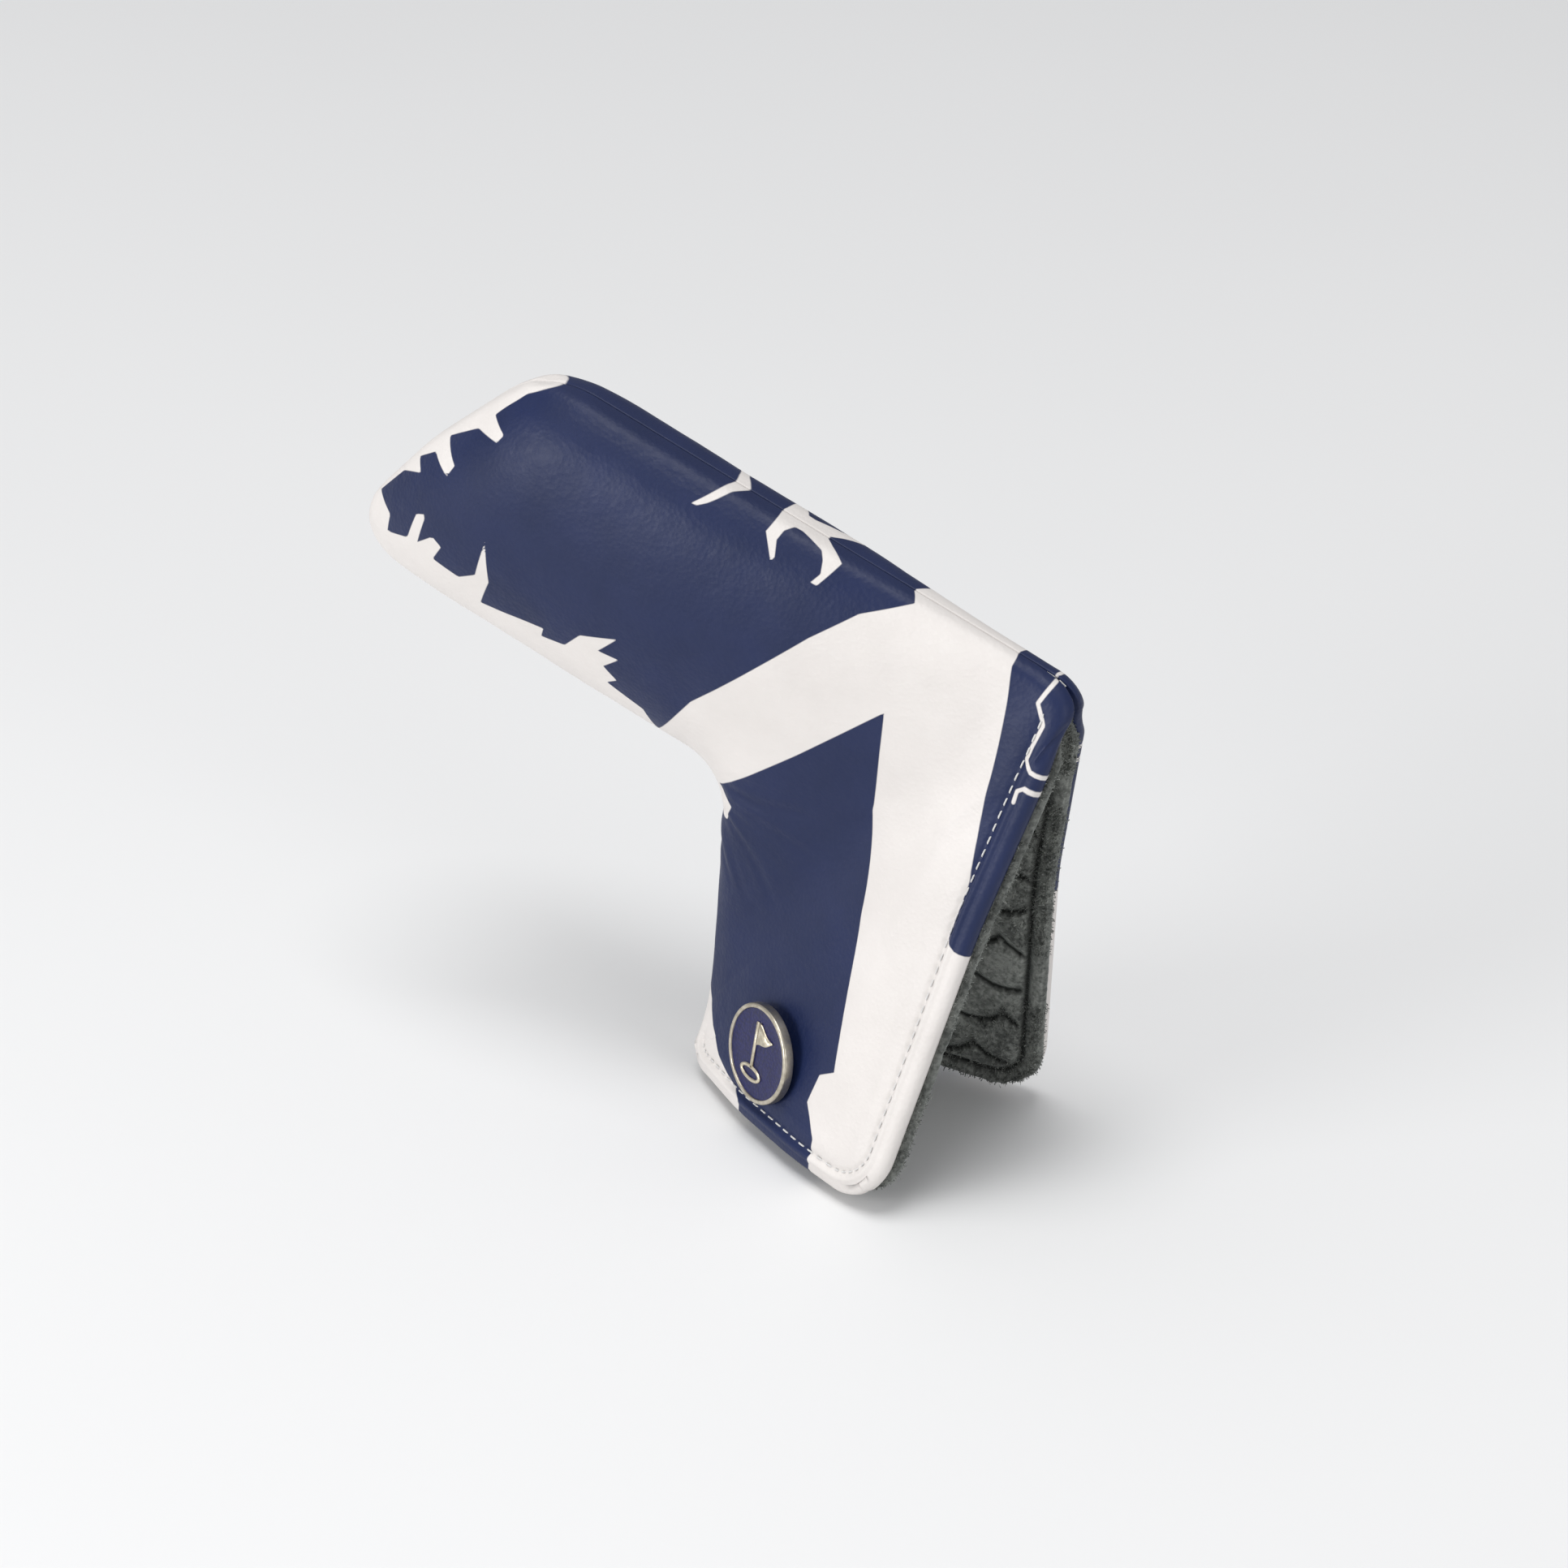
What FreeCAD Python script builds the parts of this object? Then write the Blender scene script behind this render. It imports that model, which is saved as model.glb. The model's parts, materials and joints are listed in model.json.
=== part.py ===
"""Putter head cover for a blade putter, standing open on its two flaps. All lengths in millimetres.

The cover is a flat L: a long pocket for the putter head and, bent down from it, a neck that is split
along its outer edge. Two equal half covers, front (-Y) and back (+Y), are sewn together all round the
pocket and down the inner side of the neck. Below a fold line, which runs from the heel corner to the
end of the neck seam, the halves are free and open like the flaps of an envelope.

Every half is a stack of three sheets: printed leather shell, foam and plush lining. A sheet is drawn
in its closed, flat state over the L-shaped outline and is then bent about the fold line.
"""

import FreeCAD, Part
import os
from math import acos, atan2, cos, pi, radians, sin, sqrt, tan

# Outline, seen from the front with the heel corner at the origin, toe to the left.
HEAD_TILT = 18.9          # degrees the sole edge rises towards the toe
SOLE_LENGTH = 144.0       # heel corner to toe corner
HEAD_HEIGHT = 70.5        # sole edge to crown edge
TOE_SLANT = 39.0          # how much further out the toe's crown corner is
NECK_WIDTH = 69.0         # along the head, heel corner to inner corner
NECK_LENGTH = 80.5        # inner corner to the bottom hem
SLIT_LENGTH = 130.5       # heel corner to the bottom hem
SEAM_LEAN = 6.5           # degrees, neck seam from the vertical
SLIT_LEAN = 7.8           # degrees, slit edge from the vertical
FREE_SEAM = 13.5          # unsewn end of the neck seam
TOE_BOW = 2.5             # outward bow of the toe edge
SLIT_BOW = -1.0           # outward bow of the slit edge, negative where it is hollow
LEAN = 5.0                # degrees the whole cover leans to the front as it stands
RADII = {"heel": 7.5, "slit": 140.0, "hem_right": 14.0, "hem_left": 9.0,
         "inner": 14.0, "toe_crown": 11.5, "toe": 70.0, "toe_sole": 26.0}

# Thickness and bulge.
HALF_THICK_HEAD = 14.0    # outer surface from the mid plane, in the head pocket
HALF_THICK_FOLD = 11.0    # the same at the fold line
HALF_THICK_HEM = 9.5      # the same at the bottom hem
WALL = 6.4                # shell, foam and lining together
SEAM_GAP = 0.25           # each half stays this far off the mid plane in the seam
EDGE_GAP = 0.3            # each lining from the mid plane at the open edges
FULLNESS = 2.3            # exponent of the bulge, 2 is an ellipse
TOE_CAP = 28.0            # length over which the toe closes
HEAD_SPAN = 160.0         # mean length of the head, toe to fold
SLIT_RAMP = 25.0          # length below the heel over which the slit edges part
EDGE_EASE = 30.0          # the open edges reach the full bulge this far in

# Sheets: depth of outer and inner face below the outer surface, and how far the sheet stops short
# of the free edges (negative where it reaches past the leather).
SHEETS = {"shell": (0.0, 1.2, 0.0), "foam": (1.25, 3.6, 0.5), "lining": (4.2, WALL, -1.4)}
EDGE_REACH = 10.0         # width of the rim that moves with a sheet's edge

# Fold.
FRONT_OPEN = 36.0         # degrees the front flap stands open
BACK_OPEN = 17.0
BEND_RADIUS = 34.0
AXIS_DEPTH = 5.5          # hinge line from the mid plane
FOLD_GAP = 4.0

# Threads, magnets and ball marker.
HEM_INSET = 4.8
STITCH_PITCH = 3.3
STITCH_LENGTH = 2.0
THREAD_RADIUS = 0.22
MAGNET = (6.0, 1.5)       # radius, thickness
POUCH_CLOTH = 0.25
CLOSURE_SPOTS = ((0.42, 9.5), (0.80, 11.0))   # share of the slit edge, distance in from it
MARKER_RADIUS = 12.0
MARKER_THICK = 2.6
MARKER_RIM = 1.1
ENAMEL_SINK = 0.5
MARKER_SPOT = (34.5, 18.9)                    # from the left free edge and from the bottom hem
MARKER_GAP = 0.6
MARKER_DIP = 0.14         # the coin tips this much to the hem, where the padding gives

FRONT = -1
BACK = 1


def point(x, z):
    """A point of the flat outline, which lies in the mid plane."""
    return FreeCAD.Vector(x, 0, z)


def heading(degrees):
    """Unit vector at this angle from +X towards +Z."""
    return point(cos(radians(degrees)), sin(radians(degrees)))


def unit(vector):
    return vector * (1.0 / vector.Length)


def ease(x):
    """Smooth step from 0 to 1."""
    x = min(max(x, 0.0), 1.0)
    return x * x * (3 - 2 * x)


def mix(a, b, share):
    return a * (1 - share) + b * share


def bowed(start, end, share, bow):
    """The corner that makes the run from start to end bow to its left."""
    run = unit(end - start)
    return mix(start, end, share) + point(-run.z, run.x) * bow


def corners():
    """Corners of the outline before rounding, clockwise from the heel."""
    along = heading(180 - HEAD_TILT)
    down = heading(270 - HEAD_TILT)
    heel = point(0, 0)
    toe_sole = along * SOLE_LENGTH
    toe_crown = along * (SOLE_LENGTH + TOE_SLANT) + down * HEAD_HEIGHT
    inner = along * NECK_WIDTH + down * HEAD_HEIGHT
    hem_left = inner + heading(270 - SEAM_LEAN) * NECK_LENGTH
    hem_right = heading(270 - SLIT_LEAN) * SLIT_LENGTH
    return {
        "heel": heel,
        "slit": bowed(heel, hem_right, 0.45, SLIT_BOW),
        "hem_right": hem_right,
        "hem_left": hem_left,
        "inner": inner,
        "toe_crown": toe_crown,
        "toe": bowed(toe_crown, toe_sole, 0.5, TOE_BOW),
        "toe_sole": toe_sole,
    }


def rounded(before, corner, after, radius, steps=12):
    """Points on the arc that rounds one corner."""
    back = unit(before - corner)
    ahead = unit(after - corner)
    half_angle = acos(back.dot(ahead)) / 2
    centre = corner + unit(back + ahead) * (radius / sin(half_angle))
    first = corner + back * (radius / tan(half_angle)) - centre
    last = corner + ahead * (radius / tan(half_angle)) - centre
    start = atan2(first.z, first.x)
    sweep = (atan2(last.z, last.x) - start + pi) % (2 * pi) - pi
    angles = [start + sweep * i / steps for i in range(steps + 1)]
    return [centre + point(cos(a), sin(a)) * radius for a in angles]


def seam_end():
    """Where the neck seam stops, above the left corner of the hem."""
    c = corners()
    return c["hem_left"] + unit(c["inner"] - c["hem_left"]) * FREE_SEAM


def edges():
    """The edges of the outline, each a list of points that ends in the middle of its corners."""
    c = corners()
    names = list(c)
    arcs = {}
    for i, name in enumerate(names):
        before = c[names[i - 1]]
        after = c[names[(i + 1) % len(names)]]
        arcs[name] = rounded(before, c[name], after, RADII[name])
    middle = len(arcs["heel"]) // 2
    first = {name: arc[:middle + 1] for name, arc in arcs.items()}
    second = {name: arc[middle:] for name, arc in arcs.items()}
    toe = second["toe_crown"] + arcs["toe"] + first["toe_sole"]
    crown = [seam_end()] + arcs["inner"] + first["toe_crown"]
    left = second["hem_left"] + [seam_end()]
    return {
        "sole": second["toe_sole"] + first["heel"],
        "slit": second["heel"] + arcs["slit"] + first["hem_right"],
        "hem": second["hem_right"] + first["hem_left"],
        "toe": toe[::-1],
        "crown": crown[::-1],
        "left": left[::-1],
    }


EDGES = edges()
FOLD_START = seam_end()


def length(path):
    return sum((b - a).Length for a, b in zip(path, path[1:]))


def walk(path, distance):
    """Point on a path at this distance from its start."""
    for a, b in zip(path, path[1:]):
        step = (b - a).Length
        if distance <= step and step > 0:
            return mix(a, b, distance / step)
        distance -= step
    return path[-1]


def on_edge(name, share, inward):
    """Point at this share of an edge's length, and the unit vector to the inside of the outline.
    inward is 1 where the inside lies to the right of the way the edge runs, and -1 to its left."""
    path = EDGES[name]
    total = length(path)
    run = unit(walk(path, min(share * total + 0.6, total)) - walk(path, max(share * total - 0.6, 0)))
    return walk(path, share * total), point(run.z, -run.x) * inward


def bulge_position(turn):
    """Share of the way across a section for a turn of 0 to 1 round its bulged profile."""
    c = cos(pi * turn)
    return (1 - (abs(c) ** (2 / FULLNESS)) * (1 if c > 0 else -1)) / 2


def bulge_height(turn):
    return max(sin(pi * turn), 0.0) ** (2 / FULLNESS)


def coons(rows, columns, s, t, u, v):
    """Point inside four edges. rows: edges along s at t = 0 and 1. columns: along t at s = 0 and 1.
    u and v are the indices of s and t in those edges."""
    near, far = rows
    first, last = columns
    ruled = mix(near[u], far[u], t) + mix(first[v], last[v], s)
    corner = mix(mix(near[0], near[-1], s), mix(far[0], far[-1], s), t)
    return ruled - corner


def head_grid(depth, shares, turns):
    """Flat positions and half thicknesses of the pocket part of a sheet face."""
    across = [bulge_position(turn) for turn in turns]
    near, far = [], []
    for share in shares:
        for side, name in ((near, "sole"), (far, "crown")):
            reach = share * (1 - FOLD_GAP / length(EDGES[name]))
            spot, inside = on_edge(name, reach, 1 if name == "sole" else -1)
            side.append(spot + inside * depth)
    first = []
    for t in across:
        spot, inside = on_edge("toe", t, -1)
        first.append(spot + inside * depth)
    first[0], first[-1] = near[0], far[0]
    last = [mix(near[-1], far[-1], t) for t in across]
    grid = []
    for u, s in enumerate(shares):
        slim = ease((s - 0.35) / 0.75)
        closing = min(s * HEAD_SPAN / TOE_CAP, 1.0)
        cap = sqrt(1 - (1 - closing) ** 2)
        height = (HALF_THICK_HEAD * (1 - slim) + HALF_THICK_FOLD * slim - depth) * cap
        row = []
        for v, t in enumerate(across):
            flat = coons((near, far), (first, last), s, t, u, v)
            row.append((flat, SEAM_GAP + height * bulge_height(turns[v])))
        grid.append(row)
    return grid


def flap_grid(depth, inset, shares, turns):
    """The same for the flap part, which is open at the slit, the hem and the end of the seam."""
    across = [bulge_position(turn) for turn in turns]
    slit_length = length(EDGES["slit"])
    left_length = length(EDGES["left"])
    near, far, near_in, far_in, near_open, far_open = [], [], [], [], [], []
    for share in shares:
        down_slit = FOLD_GAP + (slit_length - FOLD_GAP) * share
        down_left = FOLD_GAP + (left_length - FOLD_GAP) * share
        near_open.append(ease(down_slit / SLIT_RAMP))
        far_open.append(ease(down_left / (0.9 * left_length)))
        spot, inside = on_edge("slit", down_slit / slit_length, 1)
        near_in.append(inside)
        near.append(spot + inside * (depth * (1 - near_open[-1])))
        spot, inside = on_edge("left", down_left / left_length, -1)
        far_in.append(inside)
        far.append(spot + inside * (depth * (1 - far_open[-1])))
    first = [mix(near[0], far[0], t) for t in across]
    last, hem_in = [], []
    for t in across:
        spot, inside = on_edge("hem", t, 1)
        last.append(spot)
        hem_in.append(inside)
    last[0], last[-1] = near[-1], far[-1]
    edge_height = WALL + EDGE_GAP - SEAM_GAP - depth
    grid = []
    for u, s in enumerate(shares):
        height = HALF_THICK_FOLD + (HALF_THICK_HEM - HALF_THICK_FOLD) * ease(s) - depth
        width = (far[u] - near[u]).Length
        row = []
        for v, t in enumerate(across):
            flat = coons((near, far), (first, last), s, t, u, v)
            side = ease(t)
            opened = near_open[u] * (1 - side) + far_open[u] * side
            rise = ease(min(t, 1 - t) * width / min(EDGE_EASE, width / 2))
            closed_form = height * bulge_height(turns[v])
            open_form = edge_height + (height - edge_height) * rise
            thick = SEAM_GAP + closed_form * (1 - opened) + open_form * opened
            fall = length([first[v], last[v]])
            pulls = ((near_open[u], t * width, near_in[u]), (far_open[u], (1 - t) * width, far_in[u]),
                     (1.0, (1 - s) * fall, hem_in[v]))
            row.append((flat + rim_shift(pulls, inset), thick))
        grid.append(row)
    return grid


def rim_shift(pulls, inset):
    """How far the rim of a sheet moves with its free edges. pulls: openness, distance, inward."""
    total = 0.0
    strongest = 0.0
    direction = point(0, 0)
    for opened, distance, inside in pulls:
        weight = opened * max(1 - distance / EDGE_REACH, 0.0) ** 2
        total += weight
        strongest = max(strongest, weight)
        direction += inside * weight
    if total < 1e-9:
        return direction
    return direction * (strongest * inset / total)


def fold_frame():
    """Start of the fold line, its direction, and the direction away from the pocket."""
    along = unit(point(0, 0) - FOLD_START)
    return FOLD_START, along, point(along.z, -along.x)


def bent(flat, thick, half):
    """Bend a point of the flat state about the fold line: half is FRONT or BACK."""
    angle = radians(FRONT_OPEN if half == FRONT else BACK_OPEN)
    start, along, away = fold_frame()
    reach = (flat - start).dot(away)
    outward = thick - AXIS_DEPTH
    before = -BEND_RADIUS * angle / 2
    if reach > before:
        turned = min((reach - before) / BEND_RADIUS, angle)
        beyond = max(reach - before - BEND_RADIUS * angle, 0.0)
        reach = before + BEND_RADIUS * sin(turned) + beyond * cos(turned) - outward * sin(turned)
        outward = BEND_RADIUS * (1 - cos(turned)) + beyond * sin(turned) + outward * cos(turned)
    place = start + along * (flat - start).dot(along) + away * reach
    return place + FreeCAD.Vector(0, half * (AXIS_DEPTH + outward), 0)


def spaced(count):
    return [i / (count - 1) for i in range(count)]


def head_shares():
    """Rows of the pocket: close together where the toe rounds off."""
    cap = TOE_CAP / HEAD_SPAN
    rounding = [cap * (1 - cos(pi / 2 * i / 6)) for i in range(6)]
    return rounding + [cap + (1 - cap) * share for share in spaced(13)]


def face_points(part, half, depth, inset=0.0, shares=None, turns=None):
    """Bent points of one face of a sheet: part is "head" or "flap"."""
    turns = turns or spaced(17)
    if part == "head":
        grid = head_grid(depth, shares or head_shares(), turns)
    else:
        grid = flap_grid(depth, inset, shares or spaced(17), turns)
    return [[bent(flat, thick, half) for flat, thick in row] for row in grid]


def sheet(part, half, name):
    """One sheet of a half: two smooth faces joined by ruled sides."""
    depth, inner_depth, inset = SHEETS[name]
    outer = Part.BSplineSurface()
    outer.interpolate(face_points(part, half, depth, inset))
    inner = Part.BSplineSurface()
    inner.interpolate(face_points(part, half, inner_depth, inset))
    faces = [outer.toShape(), inner.toShape()]
    u0, u1, v0, v1 = outer.bounds()
    w0, w1, x0, x1 = inner.bounds()
    sides = [(outer.uIso(u0), inner.uIso(w0)), (outer.uIso(u1), inner.uIso(w1)),
             (outer.vIso(v0), inner.vIso(x0)), (outer.vIso(v1), inner.vIso(x1))]
    for a, b in sides:
        faces.append(Part.makeRuledSurface(a.toShape(), b.toShape()))
    return closed_solid(faces)


def closed_solid(faces):
    shell = Part.makeShell(faces)
    shell.sewShape()
    solid = Part.makeSolid(shell)
    if solid.Volume < 0:
        solid.reverse()
    return solid


def spot_on_flap(half, depth, flat_spot):
    """Point and outward unit normal on a flap face at a spot of the flat outline.
    The grid of the face is searched for the cell that holds the spot."""
    count = 61
    shares = spaced(count)
    grid = flap_grid(depth, 0.0, shares, shares)
    nearest = min(((flat - flat_spot).Length, i, j) for i, row in enumerate(grid)
                  for j, (flat, _) in enumerate(row) if 0 < i < count - 1 and 0 < j < count - 1)
    _, i, j = nearest
    place = [[bent(*grid[i + a][j + b], half) for b in (-1, 0, 1)] for a in (-1, 0, 1)]
    down = place[2][1] - place[0][1]
    over = place[1][2] - place[1][0]
    normal = unit(down.cross(over))
    if normal.y * half < 0:
        normal = normal * -1
    shift = flat_spot - grid[i][j][0]
    in_plane = FreeCAD.Vector(shift.x, 0, shift.z)
    return place[1][1] + in_plane - normal * in_plane.dot(normal), normal


def disc(centre, normal, radius, thickness):
    """A disc that starts at centre and grows along normal."""
    return Part.makeCylinder(radius, thickness, centre, normal)


def closure_spots():
    """Flat places of the closure magnets, beside the slit edge."""
    spots = []
    for share, inset in CLOSURE_SPOTS:
        spot, inside = on_edge("slit", share, 1)
        spots.append(spot + inside * inset)
    return spots


def marker_spot():
    """Flat place of the ball marker, near the left corner of the hem."""
    corner = corners()["hem_left"]
    up = unit(corners()["inner"] - corner)
    right = unit(corners()["hem_right"] - corner)
    return corner + right * MARKER_SPOT[0] + up * MARKER_SPOT[1]


def magnet_well(half, flat_spot):
    """Magnet, its open-backed cloth pouch, and the hole both need in the foam."""
    radius, thickness = MAGNET
    top, normal = spot_on_flap(half, SHEETS["foam"][0] + 0.45, flat_spot)
    inward = normal * -1
    pouch = disc(top, inward, radius + 2 * POUCH_CLOTH, thickness + 2 * POUCH_CLOTH)
    recess = disc(top + inward * POUCH_CLOTH, inward, radius + 0.05, thickness + 2 * POUCH_CLOTH)
    magnet = disc(top + inward * (POUCH_CLOTH + 0.05), inward, radius, thickness)
    hole = disc(top + normal * 4, inward, radius + 2 * POUCH_CLOTH + 0.3, 12)
    return magnet, pouch.cut(recess), hole


def thinned(path, step):
    """The points of a path that lie at least this far apart."""
    line = [path[0]]
    for place in path[1:]:
        if (place - line[-1]).Length > step:
            line.append(place)
    return line


def running_stitches(line, first, last):
    """Start and end of every stitch on a line, between these distances from its start."""
    stitches = []
    distance = first
    while distance < last:
        stitches.append((walk(line, distance), walk(line, distance + STITCH_LENGTH)))
        distance += STITCH_PITCH
    return stitches


def stitch(start, end, radius=THREAD_RADIUS):
    return Part.makeCylinder(radius, (end - start).Length, start, end - start)


def inset_path(runs, inset):
    """A line inside the outline. runs: edge name, side of the outline, reversed or not."""
    path = []
    for name, side, backwards in runs:
        shares = spaced(41)[::-1] if backwards else spaced(41)
        for share in shares:
            spot, inside = on_edge(name, share, side)
            path.append(spot + inside * inset)
    return thinned(path, 0.5)


def hem_thread(half):
    """One row of running stitches on the leather of a flap: down the slit edge, along the bottom
    hem and up the free end of the neck seam."""
    line = inset_path((("slit", 1, False), ("hem", 1, False), ("left", -1, True)), HEM_INSET)
    pieces = []
    for start, end in running_stitches(line, 6.0, length(line) - HEM_INSET):
        first, normal = spot_on_flap(half, 0.0, start)
        last, _ = spot_on_flap(half, 0.0, end)
        lift = normal * (THREAD_RADIUS + 0.03)
        pieces.append(stitch(first + lift, last + lift))
    return Part.makeCompound(pieces)


def closing_seam_thread():
    """The thread inside the turned seam, round sole edge, toe and crown edge to the end of the neck."""
    line = inset_path((("sole", 1, True), ("toe", -1, False), ("crown", -1, False)), 0.6)
    stitches = running_stitches(line, 2.0, length(line) - 4.0)
    return Part.makeCompound([stitch(start, end, THREAD_RADIUS - 0.04) for start, end in stitches])


def oval(centre, wide, high, normal, height):
    """A flat elliptic slab. wide and high are its half axes as vectors."""
    rim = Part.Ellipse(centre + wide, centre + high, centre)
    return Part.Face(Part.Wire(rim.toShape())).extrude(normal * height)


def emblem(centre, normal):
    """A flag in a hole: the slanting ring of the cup, the pole and a long pennant, raised from the enamel."""
    up = unit(FreeCAD.Vector(0, 0, 1) - normal * normal.z)
    over = up.cross(normal)
    height = ENAMEL_SINK - 0.1
    foot = centre - up * 5.6 - over * 1.4
    parts = oval(foot, over * 4.2, up * 1.9, normal, height).cut(
        oval(foot - normal, over * 3.3, up * 1.1, normal, height + 2))
    pole_outline = [foot - over * 0.45, foot + over * 0.45, foot + over * 0.45 + up * 13.0,
                    foot - over * 0.45 + up * 13.0]
    flag_outline = [foot + up * 12.9 + over * 0.4, foot + up * 10.2 + over * 6.6, foot + up * 7.5 + over * 0.4]
    for outline in (pole_outline, flag_outline):
        wire = Part.makePolygon(outline + [outline[0]])
        parts = parts.fuse(Part.Face(wire).extrude(normal * height))
    return parts.removeSplitter()


def marker_frame():
    """Centre of the marker's back face and the direction it is pulled off. The coin is flat: it takes
    the mean slope of the leather below it and clears the leather's highest place."""
    centre = marker_spot()
    ring = [centre + heading(45 * i) * (MARKER_RADIUS - 2) for i in range(8)]
    under = [spot_on_flap(FRONT, 0.0, spot) for spot in [centre] + ring]
    normal = FreeCAD.Vector(0, 0, 0)
    for _, slope in under:
        normal += slope
    normal = unit(unit(normal) - FreeCAD.Vector(0, 0, MARKER_DIP))
    middle = under[0][0]
    lift = max((place - middle).dot(normal) for place, _ in under)
    return middle + normal * (lift + MARKER_GAP), normal


def marker_parts():
    """Metal coin with a raised rim, enamel in the recess and the emblem that stands in it."""
    back, normal = marker_frame()
    body = disc(back, normal, MARKER_RADIUS, MARKER_THICK)
    front_edge = body.Edges[0] if body.Edges[0].CenterOfMass.distanceToPoint(back) > 1 else body.Edges[2]
    body = body.makeFillet(0.4, [front_edge])
    floor = back + normal * (MARKER_THICK - ENAMEL_SINK - 0.6)
    inner = MARKER_RADIUS - MARKER_RIM
    body = body.cut(disc(floor, normal, inner, 3))
    enamel = disc(floor, normal, inner - 0.02, 0.6)
    return {"marker_body": body, "marker_enamel": enamel,
            "marker_emblem": emblem(floor + normal * 0.62, normal)}


def build():
    nodes = {}
    for half, side in ((FRONT, "front"), (BACK, "back")):
        for name in SHEETS:
            for part in ("head", "flap"):
                nodes[f"{side}_{name}_{part}"] = sheet(part, half, name)
        magnets, pouches = [], []
        for spot in closure_spots():
            magnet, pouch, hole = magnet_well(half, spot)
            magnets.append(magnet)
            pouches.append(pouch)
            nodes[f"{side}_foam_flap"] = nodes[f"{side}_foam_flap"].cut(hole)
        nodes[f"{side}_closure_magnets"] = Part.makeCompound(magnets)
        nodes[f"{side}_magnet_pouches"] = Part.makeCompound(pouches)
        nodes[f"{side}_hem_thread"] = hem_thread(half)
    magnet, pouch, hole = magnet_well(FRONT, marker_spot())
    nodes["marker_magnet"] = magnet
    nodes["marker_magnet_pouch"] = pouch
    nodes["front_foam_flap"] = nodes["front_foam_flap"].cut(hole)
    nodes["closing_seam_thread"] = closing_seam_thread()
    nodes.update(marker_parts())
    return nodes


def standing(nodes):
    """The turn and the shift that stand the cover on the floor, centred over the origin."""
    lean = FreeCAD.Rotation(FreeCAD.Vector(1, 0, 0), LEAN)
    for shape in nodes.values():
        shape.Placement = FreeCAD.Placement(FreeCAD.Vector(0, 0, 0), lean).multiply(shape.Placement)
    box = FreeCAD.BoundBox()
    for shape in nodes.values():
        box.add(shape.optimalBoundingBox(False))
    shift = FreeCAD.Vector(-box.Center.x, -box.Center.y, -box.ZMin)
    for shape in nodes.values():
        shape.translate(shift)
    return lean, shift


if __name__ == "__main__":
    os.makedirs("parts", exist_ok=True)
    pieces = build()
    standing(pieces)
    for name, shape in pieces.items():
        shape.exportStep(os.path.join("parts", f"{name}.step"))
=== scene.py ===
"""Looks of a putter head cover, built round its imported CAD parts.

Each half has one smooth sheet of leather, one of foam and one of plush. They are drawn over nearly the
same flat outline as the CAD sheets and bent about the fold line, so they run through the fold without
a gap. Lengths in the shape code are millimetres in the flat, closed state, and place() turns them into
metres where they stand.
"""

import json
import math

import bmesh
import bpy
import numpy as np
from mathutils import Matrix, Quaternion, Vector, noise
from mathutils.bvhtree import BVHTree


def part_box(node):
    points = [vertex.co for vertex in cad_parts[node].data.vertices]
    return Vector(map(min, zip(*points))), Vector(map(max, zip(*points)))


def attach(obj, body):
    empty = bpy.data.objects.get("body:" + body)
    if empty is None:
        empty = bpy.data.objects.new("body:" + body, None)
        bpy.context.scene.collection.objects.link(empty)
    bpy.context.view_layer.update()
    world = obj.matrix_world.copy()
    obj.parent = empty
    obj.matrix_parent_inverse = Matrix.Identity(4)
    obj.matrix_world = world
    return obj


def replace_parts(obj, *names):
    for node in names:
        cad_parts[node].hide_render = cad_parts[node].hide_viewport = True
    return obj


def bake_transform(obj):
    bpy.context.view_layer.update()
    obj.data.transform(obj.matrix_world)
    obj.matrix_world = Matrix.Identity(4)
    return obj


# Driving dimensions of the CAD part, millimetres unless degrees are said.
HEAD_TILT = 18.9  # degrees the sole edge rises towards the toe
SOLE_LENGTH = 144.0  # heel corner to toe corner
HEAD_HEIGHT = 70.5  # sole edge to crown edge
TOE_SLANT = 39.0  # how much further out the toe's crown corner is
NECK_WIDTH = 69.0  # heel corner to inner corner, along the head
NECK_LENGTH = 80.5  # inner corner to the hem
SLIT_LENGTH = 130.5  # heel corner to the hem
SEAM_LEAN = 6.5  # degrees, neck seam from the vertical
SLIT_LEAN = 7.8  # degrees, slit edge from the vertical
FREE_SEAM = 13.5  # unsewn end of the neck seam
TOE_BOW = 2.5  # outward bow of the toe edge
LEAN = 5.0  # degrees the whole cover leans to the front as it stands
RADII = {"heel": 7.5, "slit": 140.0, "hem_right": 14.0, "hem_left": 9.0,
         "inner": 14.0, "toe_crown": 11.5, "toe": 70.0, "toe_sole": 26.0}
HALF_THICK_HEAD = 14.0  # outer surface from the middle plane, in the pocket
HALF_THICK_FOLD = 11.0
HALF_THICK_HEM = 9.5
WALL = 6.4  # leather, foam and lining together
EDGE_GAP = 0.3  # each lining from the middle plane at the open edges
FULLNESS = 2.3  # exponent of the bulge, 2 is an ellipse
TOE_CAP = 28.0  # length over which the toe closes
HEAD_SPAN = 160.0  # mean length of the head, toe to fold
EDGE_EASE = 30.0  # the open edges reach the full bulge this far in
EDGE_REACH = 10.0  # width of the rim that moves with a sheet's edge
BEND_RADIUS = 34.0  # of the fold, at the hinge line
AXIS_DEPTH = 5.5  # hinge line from the middle plane
FRONT, BACK = -1, 1  # signs of y in the row frame
OPENING = {FRONT: 36.0, BACK: 17.0}  # degrees each flap stands open
MM = 0.001

# Drawn softer than the CAD part has them, as the real cover is.
SLIT_BOW = -2.6  # bow of the slit edge, negative where it is hollow
SEAM_GAP = 0.48  # each half stays this far off the middle plane in the seam
SLIT_RAMP = 15.0  # length below the heel over which the slit edges part
SEAM_RAMP = 0.9  # share of the neck seam's free end over which the halves part
PILLOW = 2.4  # extra height of the pocket between its seams

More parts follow.
